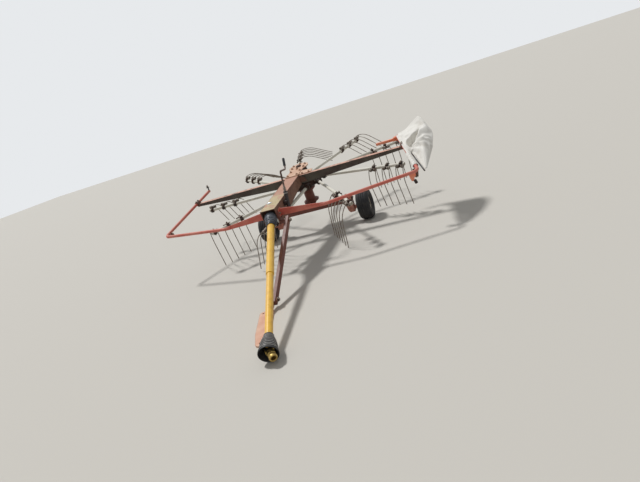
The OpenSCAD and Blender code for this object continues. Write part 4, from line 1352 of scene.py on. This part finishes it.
@dataclass
class DriveShaft:
    """Telescopic drive shaft in its guard."""

    upper: RibbedCone = RibbedCone(LAYOUT.cone_r, LAYOUT.shield_r, 6, 0.007, 0.020, 0.036)
    lower: RibbedCone = RibbedCone(LAYOUT.foot_cone_r, LAYOUT.inner_r, 8, 0.006, 0.010, 0.020)
    foot: float = 0.060

    def build(self) -> None:
        """Dresses the shaft's tubes and builds its cones, ring and yoke."""
        SHOP.dress("black_steel", "shaft_core")
        SHOP.dress("yellow_plastic", "shaft_tube_outer")
        SHOP.dress("amber_plastic", "shaft_tube_inner")
        SHOP.dress("gold_zinc", "shaft_fork")
        place = LAYOUT.shaft()
        top = Piece("cone_upper_ribbed", place @ moved(0, 0, -0.008))
        top.put(self.upper.shell(), "black_plastic")
        # The crest bands are painted highlight.
        for crest in self.upper.crests():
            top.put(crest, "crest_highlight_plastic")
        top.finish(Body.SHAFT_UPPER, "black_plastic", ["shaft_cone_upper"], angle=40)
        self.ring(place)
        foot = place @ moved(0, 0, LAYOUT.shaft_len + self.foot)
        low = Piece("cone_lower_ribbed", foot @ turned(180, "X"))
        low.put(self.lower.shell(), "grey_plastic")
        # The crest bands are painted highlight.
        for crest in self.lower.crests():
            low.put(crest, "foot_crest_highlight_plastic")
        low.finish(Body.SHAFT_LOWER, "black_plastic", ["shaft_cone_lower"], angle=40)
        self.yoke(place @ moved(0, 0, LAYOUT.shaft_len + 0.010))

    def ring(self, place: Matrix) -> None:
        """Builds the ring that holds the upper cone on its tube.

        Args:
            place: Frame of the shaft.
        """
        piece = Piece("cone_ring", place)
        bore = LAYOUT.shield_r + 0.0004
        band = [(bore, 0.150), (0.0395, 0.150), (0.0405, 0.1515), (0.0405, 0.1655), (0.0395, 0.167),
                (bore, 0.167)]
        piece.put(lathe(band, 48, True), "black_plastic")
        catch = block((0.010, 0.006, 0.014), 0.001)
        piece.put(catch, "black_plastic", moved(0, 0.0415, 0.158))
        piece.finish(Body.SHAFT_UPPER, "black_plastic")

    def yoke(self, place: Matrix) -> None:
        """Builds the end yoke with its cross, splined bore and lock slot.

        Args:
            place: Frame of the yoke's joint.
        """
        piece = Piece("yoke_end", place @ turned(LAYOUT.yoke_swing, "Y"))
        r = LAYOUT.yoke_bore_r
        wide = 0.0282
        groove = 0.0255
        collar = lathe([(r, 0.0555), (0.0, 0.0555), (0.0, 0.030), (0.024, 0.030), (wide, 0.038),
                        (wide, 0.066), (groove, 0.068), (groove, 0.074), (wide, 0.076), (wide, 0.101),
                        (0.0262, 0.105), (r + 0.0015, 0.105), (r, 0.1035)], 40, True)
        piece.put(collar, "gold_zinc")
        for x in (-1, 1):
            ear = plate([(-0.0148, 0.030), (-0.0148, 0.0), (-0.010, -0.011), (0.0, -0.0148), (0.010, -0.011),
                         (0.0148, 0.0), (0.0148, 0.030)], 0.008, 0.0012)
            piece.put(ear, "gold_zinc", axes((x * 0.028 - 0.004, 0, 0), (1, 0, 0), (0, 0, 1)))
        piece.put(block((0.064, 0.030, 0.013), 0.002), "gold_zinc", moved(0, 0, 0.0285))
        piece.put(block((0.022, 0.022, 0.022), 0.002), "black_steel")
        for a, b in (((-0.026, 0, 0), (0.026, 0, 0)), ((0, -0.0318, 0), (0, 0.0318, 0))):
            piece.rod([a, b], 0.0079, "black_steel", sides=20)
        spline = block((0.0035, 0.0022, 0.044), 0.0004)
        places = [turned(60 * step, "Z") @ moved(0, r - 0.0008, 0.080) for step in range(6)]
        piece.put(spline, "gold_zinc", *places)
        piece.finish(Body.YOKE, "gold_zinc", ["shaft_yoke"])


@dataclass
class Hitch:
    """Drawbar with its hanger and the hitch plate."""

    pivot: Point = (0.150, -1.271, 0.665)
    foot_y: float = 0.575
    foot_z: float = 0.066

    def build(self) -> None:
        """Dresses the drawbar's parts and adds its bolts and a weld."""
        SHOP.dress("drawbar_brown", "drawbar_hanger", "drawbar")
        SHOP.dress("faded_orange", "hitch_plate")
        upper = PARK @ Vector(self.pivot)
        lower = Vector((upper.x, self.foot_y, self.foot_z))
        piece = Piece("drawbar_bolts")
        pin = block((0.003, 0.030, 0.003), 0.0008)
        outer = [axes(spot + Vector((0.0255, 0, 0)), (1, 0, 0)) @ turned(turn, "Z")
                 for spot, turn in ((upper, -LAYOUT.park_tilt), (lower, 0.0))]
        inner = axes(lower + Vector((-0.0295, 0, 0)), (-1, 0, 0))
        piece.put(bolt(0.0145, 0.009), "bolt_steel", *outer, inner)
        piece.put(pin, "bolt_steel", *[out @ moved(0, 0, 0.0140) for out in outer])
        base = Vector((upper.x - 0.0223, 0.470, 0.0122))
        weld = bead([base + Vector((0, -0.075, 0)), base + Vector((0, 0.050, 0))], 0.0028, 4)
        piece.put(weld, "faded_orange")
        piece.finish(Body.ROOT, "brown_steel")


@dataclass
class Crank:
    """Height crank with its sleeve."""

    low: Point = (0.112, -1.020, 0.690)
    high: Point = (0.112, -0.972, 0.800)
    knee: float = 0.365
    collars_at: tuple[float, float] = (0.124, 0.150)
    ring_at: float = 0.1385
    spring_at: float = 0.166
    bore: float = 0.0094
    spring_r: float = 0.0135
    spring_pitch: float = 0.0084

    def build(self) -> None:
        """Dresses the crank and adds its collars, ring, spring and grip."""
        SHOP.dress("black_steel", "crank_sleeve")
        SHOP.dress("crank_steel", "crank_handle")
        piece = Piece("crank_collars", PARK)
        low = Vector(self.low)
        up = (Vector(self.high) - low).normalized()
        places = [axes(low + up * run, up) for run in self.collars_at]
        piece.put(self.washer(0.020, 0.022, 0.014, 0.002), "black_steel", *places)
        line = [Vector((self.spring_r * math.cos(a), self.spring_r * math.sin(a),
                        self.spring_pitch * a / 2 / math.pi))
                for a in [math.radians(30 * i) for i in range(60)]]
        piece.put(sweep(line, 0.0022, 6), "spring_steel", axes(low + up * self.spring_at, up))
        ring = self.washer(0.0185, 0.0195, 0.010, 0.0015)
        piece.put(ring, "ring_plastic", axes(low + up * self.ring_at, up))
        knee = low + up * self.knee
        start = knee + Vector((0, 0.150, -0.036))
        end = knee + Vector((0, 0.210, 0.062))
        out = (end - start).normalized()
        grip = lathe([(0.0093, 0.0), (0.0120, 0.0), (0.0135, 0.003), (0.0130, 0.040), (0.0135, 0.074),
                      (0.0115, 0.0775), (0.0093, 0.0775)], 24, True)
        piece.put(grip, "black_plastic", axes(start + out * 0.034, out))
        piece.finish(Body.ROOT, "black_steel")

    def washer(self, face: float, radius: float, high: float, chamfer: float) -> bpy.types.Mesh:
        """Builds a chamfered collar that fits the spindle.

        Args:
            face: Radius of its flat faces.
            radius: Its outer radius.
            high: Its height.
            chamfer: Height of its chamfers.

        Returns:
            The mesh.
        """
        return lathe([(self.bore, 0), (face, 0), (radius, chamfer), (radius, high - chamfer), (face, high),
                      (self.bore, high)], 24, True)


@dataclass
class Curtain:
    """Folded canvas curtain on its slide bar, with the canvas over and round the guard tube.

    Each row holds a place along the machine and four points across the wing, out from the tube's rear
    end and up from the slide. Each point of the pocket's rim has the width over which it fades. Each
    fold has its direction from the gather, its half width in degrees and its height.
    """

    rows: Rows = (
        (-0.009, ((0.015, 0.054), (0.100, 0.074), (0.190, 0.130), (0.262, 0.174))),
        (-0.060, ((0.018, 0.052), (0.086, 0.064), (0.196, 0.106), (0.290, 0.160))),
        (-0.120, ((0.021, 0.050), (0.070, 0.057), (0.206, 0.094), (0.318, 0.128))),
        (-0.195, ((0.033, 0.043), (0.092, 0.054), (0.240, 0.090), (0.350, 0.080))),
        (-0.240, ((0.045, 0.038), (0.112, 0.048), (0.262, 0.082), (0.372, 0.050))),
        (-0.340, ((0.069, 0.027), (0.156, 0.048), (0.280, 0.080), (0.378, 0.022))),
        (-0.450, ((0.099, 0.013), (0.200, 0.034), (0.288, 0.058), (0.368, -0.004))),
        (-0.510, ((0.136, -0.022), (0.212, 0.020), (0.290, 0.040), (0.362, -0.016))),
        (-0.560, ((0.172, -0.040), (0.228, 0.006), (0.292, 0.026), (0.356, -0.030))),
        (-0.859, ((0.263, -0.112), (0.268, -0.104), (0.273, -0.102), (0.281, -0.106))))
    edge: float = 1.190
    slide_z: float = 0.762
    pocket_deep: float = 0.080
    pocket_rim: tuple[Point, ...] = (
        (0.103, -0.355, 0.016), (0.147, -0.270, 0.016), (0.256, -0.200, 0.030), (0.268, -0.330, 0.034),
        (0.214, -0.440, 0.030), (0.156, -0.495, 0.020), (0.118, -0.440, 0.016))
    gather: tuple[float, float] = (0.150, -0.490)
    folds: tuple[Point, ...] = (
        (56, 15, 0.030), (27, 9, 0.010), (8, 11, 0.018), (-20, 12, 0.016), (-50, 12, 0.020))
    cloth_t: float = 0.0016
    cover_r: float = 0.0212
    cover_run: tuple[float, float] = (0.030, 0.585)
    wrap_r: float = 0.0205
    wrap_run: tuple[float, float] = (0.57, 0.88)
    wrap_turns: float = 1.12
    wrap_from: float = 0.4
    wrap_lap: float = 0.006
    cover_from: float = -66.0
    cover_turn: float = 194.0
    edge_fade: float = 7.0
    gather_fade: float = 0.09
    wave_high: float = 0.009

    def build(self) -> None:
        """Builds the three sheets of canvas and dresses the wing's socket, bar and rod."""
        SHOP.dress("orange_paint", "curtain_socket", "curtain_bar")
        SHOP.dress("black_steel", "curtain_rod")
        self.wing()
        self.wrap()
        self.cover()

    def surface(self, u: float, v: float) -> Vector:
        """Gives a point of the hanging canvas.

        Args:
            u: Share across, from the guard tube outwards.
            v: Share along, from the rear rod to the front tip.

        Returns:
            The point, machine level.
        """
        columns = [spline_at([row[1][i] for row in self.rows], v) for i in range(4)]
        x, z = spline_at(columns, u)
        y = spline_at([(row[0], 0.0) for row in self.rows], v)[0]
        return Vector((self.edge + x, y, self.slide_z + z))

    def pocket(self, x: float, y: float) -> float:
        """Gives the depth of the deep fold in front of the rear rod.

        Args:
            x: Place outside the guard tube's rear end.
            y: Place along the machine.

        Returns:
            The depth.
        """
        share = 1.0
        for here, there in zip(self.pocket_rim, self.pocket_rim[1:] + self.pocket_rim[:1]):
            run = Vector((there[0] - here[0], there[1] - here[1])).normalized()
            inside = run.y * (x - here[0]) - run.x * (y - here[1])
            t = min(max(inside / here[2], 0.0), 1.0)
            share *= t * t * (3 - 2 * t)
        return self.pocket_deep * share

    def fold(self, x: float, y: float) -> float:
        """Gives the height of the folds that fan out from the gather at the hem rod.

        Args:
            x: Place outside the guard tube's rear end.
            y: Place along the machine.

        Returns:
            The height.
        """
        run = Vector((x - self.gather[0], y - self.gather[1]))
        if run.length < 1e-6:
            return 0.0
        angle = math.degrees(math.atan2(run.y, run.x))
        high = max(lift * (1 - abs(angle - middle) / wide) for middle, wide, lift in self.folds)
        return max(high, 0.0) * min(1.0, run.length / self.gather_fade)

    def tube_run(self, run: tuple[float, float]) -> tuple[Vector, Vector]:
        """Gives two points of the guard tube, by their shares from its rear end to its corner."""
        _, corner, rear = LAYOUT.guard_points()
        return rear.lerp(corner, run[0]), rear.lerp(corner, run[1])

    def wing_spot(self, u: float, v: float) -> Vector:
        """Gives a point of the wing with its folds, by its shares across and along."""
        spot = self.surface(u, v)
        x = spot.x - self.edge
        free = min(1.0, min(u, 1 - u, v, 1 - v) * self.edge_fade)
        wave = self.wave_high * math.sin(9 * u - 11 * v + 2 * math.sin(4 * v)) * free
        fine = noise.noise(Vector((u * 6, v * 11, 3.0))) * self.wave_high * free
        spot.z += abs(wave) + self.fold(x, spot.y) * free + max(fine, -0.002)
        spot.z -= self.pocket(x, spot.y)
        return spot

    def cover_spot(self, u: float, v: float) -> Vector:
        """Gives a point of the canvas over the tube, by its shares round and along."""
        start, end = self.tube_run(self.cover_run)
        along = (end - start).normalized()
        out = Vector((1, 0, 0))
        out = (out - along * out.dot(along)).normalized()
        up = out.cross(along)
        if up.z < 0:
            up = -up
        turn = math.radians(self.cover_from + self.cover_turn * u)
        ripple = 0.0016 * math.sin(v * 46 + 3 * math.sin(turn))
        ripple += 0.0022 * noise.noise(Vector((u * 4, v * 14, 5)))
        r = self.cover_r + max(ripple, -0.0015)
        return start.lerp(end, v) + out * (r * math.cos(turn)) + up * (r * math.sin(turn))

    def wrap_spot(self, u: float, v: float) -> Vector:
        """Gives a point of the strip wound round the tube, by its shares round and along."""
        start, end = self.tube_run(self.wrap_run)
        turn = 2 * math.pi * self.wrap_turns * u + self.wrap_from
        ripple = 0.0022 * math.sin(v * 34 + 3 * math.sin(turn))
        ripple += 0.003 * noise.noise(Vector((u * 5, v * 9, 1)))
        r = self.wrap_r + self.wrap_lap * u + ripple
        long = (end - start).length
        return axes(start, end - start) @ Vector((r * math.cos(turn), r * math.sin(turn), long * v))

    def canvas(self, name: str, cells: tuple[int, int], weave: tuple[float, float],
               spot: Callable[[float, float], Vector]) -> bpy.types.Object:
        """Builds a thin sheet of canvas.

        Args:
            name: The sheet's name.
            cells: Faces across and along.
            weave: Width and length that its weave is laid over.
            spot: Gives the place of a point, machine level, by its shares across and along.

        Returns:
            The object.
        """
        bm = bmesh.new()
        uv = bm.loops.layers.uv.new("cloth")
        bmesh.ops.create_grid(bm, x_segments=cells[0], y_segments=cells[1], size=0.5)
        shares = {v: (v.co.x + 0.5, v.co.y + 0.5) for v in bm.verts}
        for face in bm.faces:
            for loop in face.loops:
                u, v = shares[loop.vert]
                loop[uv].uv = (u * weave[0], v * weave[1])
        for vert, (u, v) in shares.items():
            vert.co = PARK @ spot(u, v)
        bmesh.ops.recalc_face_normals(bm, faces=bm.faces)
        mesh = bpy.data.meshes.new(name)
        bm.to_mesh(mesh)
        bm.free()
        mesh.materials.append(SHOP.get("canvas"))
        mesh.polygons.foreach_set("use_smooth", [True] * len(mesh.polygons))
        thing = bpy.data.objects.new(name, mesh)
        bpy.context.scene.collection.objects.link(thing)
        wall = thing.modifiers.new("thick", "SOLIDIFY")
        wall.thickness = self.cloth_t
        wall.offset = 0.0
        log.info("%s: canvas", name)
        return thing

    def wing(self) -> None:
        """Builds the canvas wing on its slide bar."""
        thing = self.canvas("curtain_cloth", (48, 120), (0.45, 0.9), self.wing_spot)
        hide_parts("curtain_canvas")
        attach(thing, Body.CURTAIN.value)

    def wrap(self) -> None:
        """Builds the canvas strip wound round the guard tube."""
        thing = self.canvas("tube_wrap", (40, 48), (0.16, 0.29), self.wrap_spot)
        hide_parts("tube_sleeve")
        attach(thing, Body.ROOT.value)

    def cover(self) -> None:
        """Builds the canvas that lies over the guard tube, open along the tube's inner side."""
        thing = self.canvas("tube_cover", (24, 72), (0.085, 0.51), self.cover_spot)
        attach(thing, Body.ROOT.value)


@dataclass
class Studio:
    """Floor, light and camera."""

    camera_at: Point = (1.6095, -2.7262, 1.4771)
    camera_turn: Point = (72.997, 17.952, 13.829)
    lens: float = 27.202
    sun_from: Point = (-0.42, 0.30, 0.86)
    sun_strength: float = 2.5
    sun_width: float = 7.0
    fill_strength: float = 0.38
    sensor: float = 36.0
    floor_half: float = 40.0

    def build(self) -> None:
        """Builds the studio."""
        scene = bpy.context.scene
        scene.view_settings.view_transform = "Standard"
        lens = bpy.data.cameras.new("camera")
        lens.sensor_width = self.sensor
        lens.lens = self.lens
        lens.dof.use_dof = False
        camera = bpy.data.objects.new("camera", lens)
        camera.location = self.camera_at
        camera.rotation_euler = Euler([math.radians(a) for a in self.camera_turn])
        scene.collection.objects.link(camera)
        scene.camera = camera
        bm = bmesh.new()
        bmesh.ops.create_grid(bm, x_segments=1, y_segments=1, size=self.floor_half)
        mesh = bpy.data.meshes.new("floor")
        bm.to_mesh(mesh)
        bm.free()
        mesh.materials.append(SHOP.get("floor"))
        floor = bpy.data.objects.new("floor", mesh)
        scene.collection.objects.link(floor)
        sun = bpy.data.lights.new("key", "SUN")
        sun.energy = self.sun_strength
        sun.angle = math.radians(self.sun_width)
        key = bpy.data.objects.new("key", sun)
        key.rotation_euler = Vector(self.sun_from).to_track_quat("Z", "Y").to_euler()
        scene.collection.objects.link(key)
        self.world(scene)

    def world(self, scene: bpy.types.Scene) -> None:
        """Sets the world: soft light on the rake, a plain pale colour for the camera and reflections.

        Args:
            scene: The scene it lights.
        """
        world = bpy.data.worlds.new("studio")
        world.use_nodes = True
        tree = world.node_tree
        tree.nodes.clear()
        light = tree.nodes.new("ShaderNodeBackground")
        light.inputs[0].default_value = (0.96, 0.98, 1.0, 1.0)
        light.inputs[1].default_value = self.fill_strength
        shown = tree.nodes.new("ShaderNodeBackground")
        shown.inputs[0].default_value = (0.80, 0.82, 0.84, 1.0)
        shown.inputs[1].default_value = 1.0
        path = tree.nodes.new("ShaderNodeLightPath")
        glossy = tree.nodes.new("ShaderNodeMath")
        glossy.operation = "MAXIMUM"
        tree.links.new(path.outputs["Is Camera Ray"], glossy.inputs[0])
        tree.links.new(path.outputs["Is Glossy Ray"], glossy.inputs[1])
        either = tree.nodes.new("ShaderNodeMixShader")
        out = tree.nodes.new("ShaderNodeOutputWorld")
        tree.links.new(glossy.outputs[0], either.inputs[0])
        tree.links.new(light.outputs[0], either.inputs[1])
        tree.links.new(shown.outputs[0], either.inputs[2])
        tree.links.new(either.outputs[0], out.inputs[0])
        scene.world = world


ARMS = (ArmPlan(1, 4, -62), ArmPlan(2, 3, -68), ArmPlan(3, 2, -68), ArmPlan(4, 1, -6), ArmPlan(5, 0, 0),
        ArmPlan(6, 8, -16), ArmPlan(7, 7, -26), ArmPlan(8, 5, -40), ArmPlan(9, 6, -4))


def main() -> None:
    """Builds the rake's looks in order."""
    logging.basicConfig(level=logging.INFO, format="%(message)s")
    Studio().build()
    parts = [FrameBeams(), Guards(), Rotor(), Undercarriage(), DriveShaft(), Hitch(), Crank(), Curtain()]
    parts += [Wheel(side) for side in Side]
    parts += [RakeArm(plan) for plan in ARMS]
    for part in parts:
        part.build()
        log.info("%s: done", type(part).__name__)


if __name__ == "__main__":
    main()
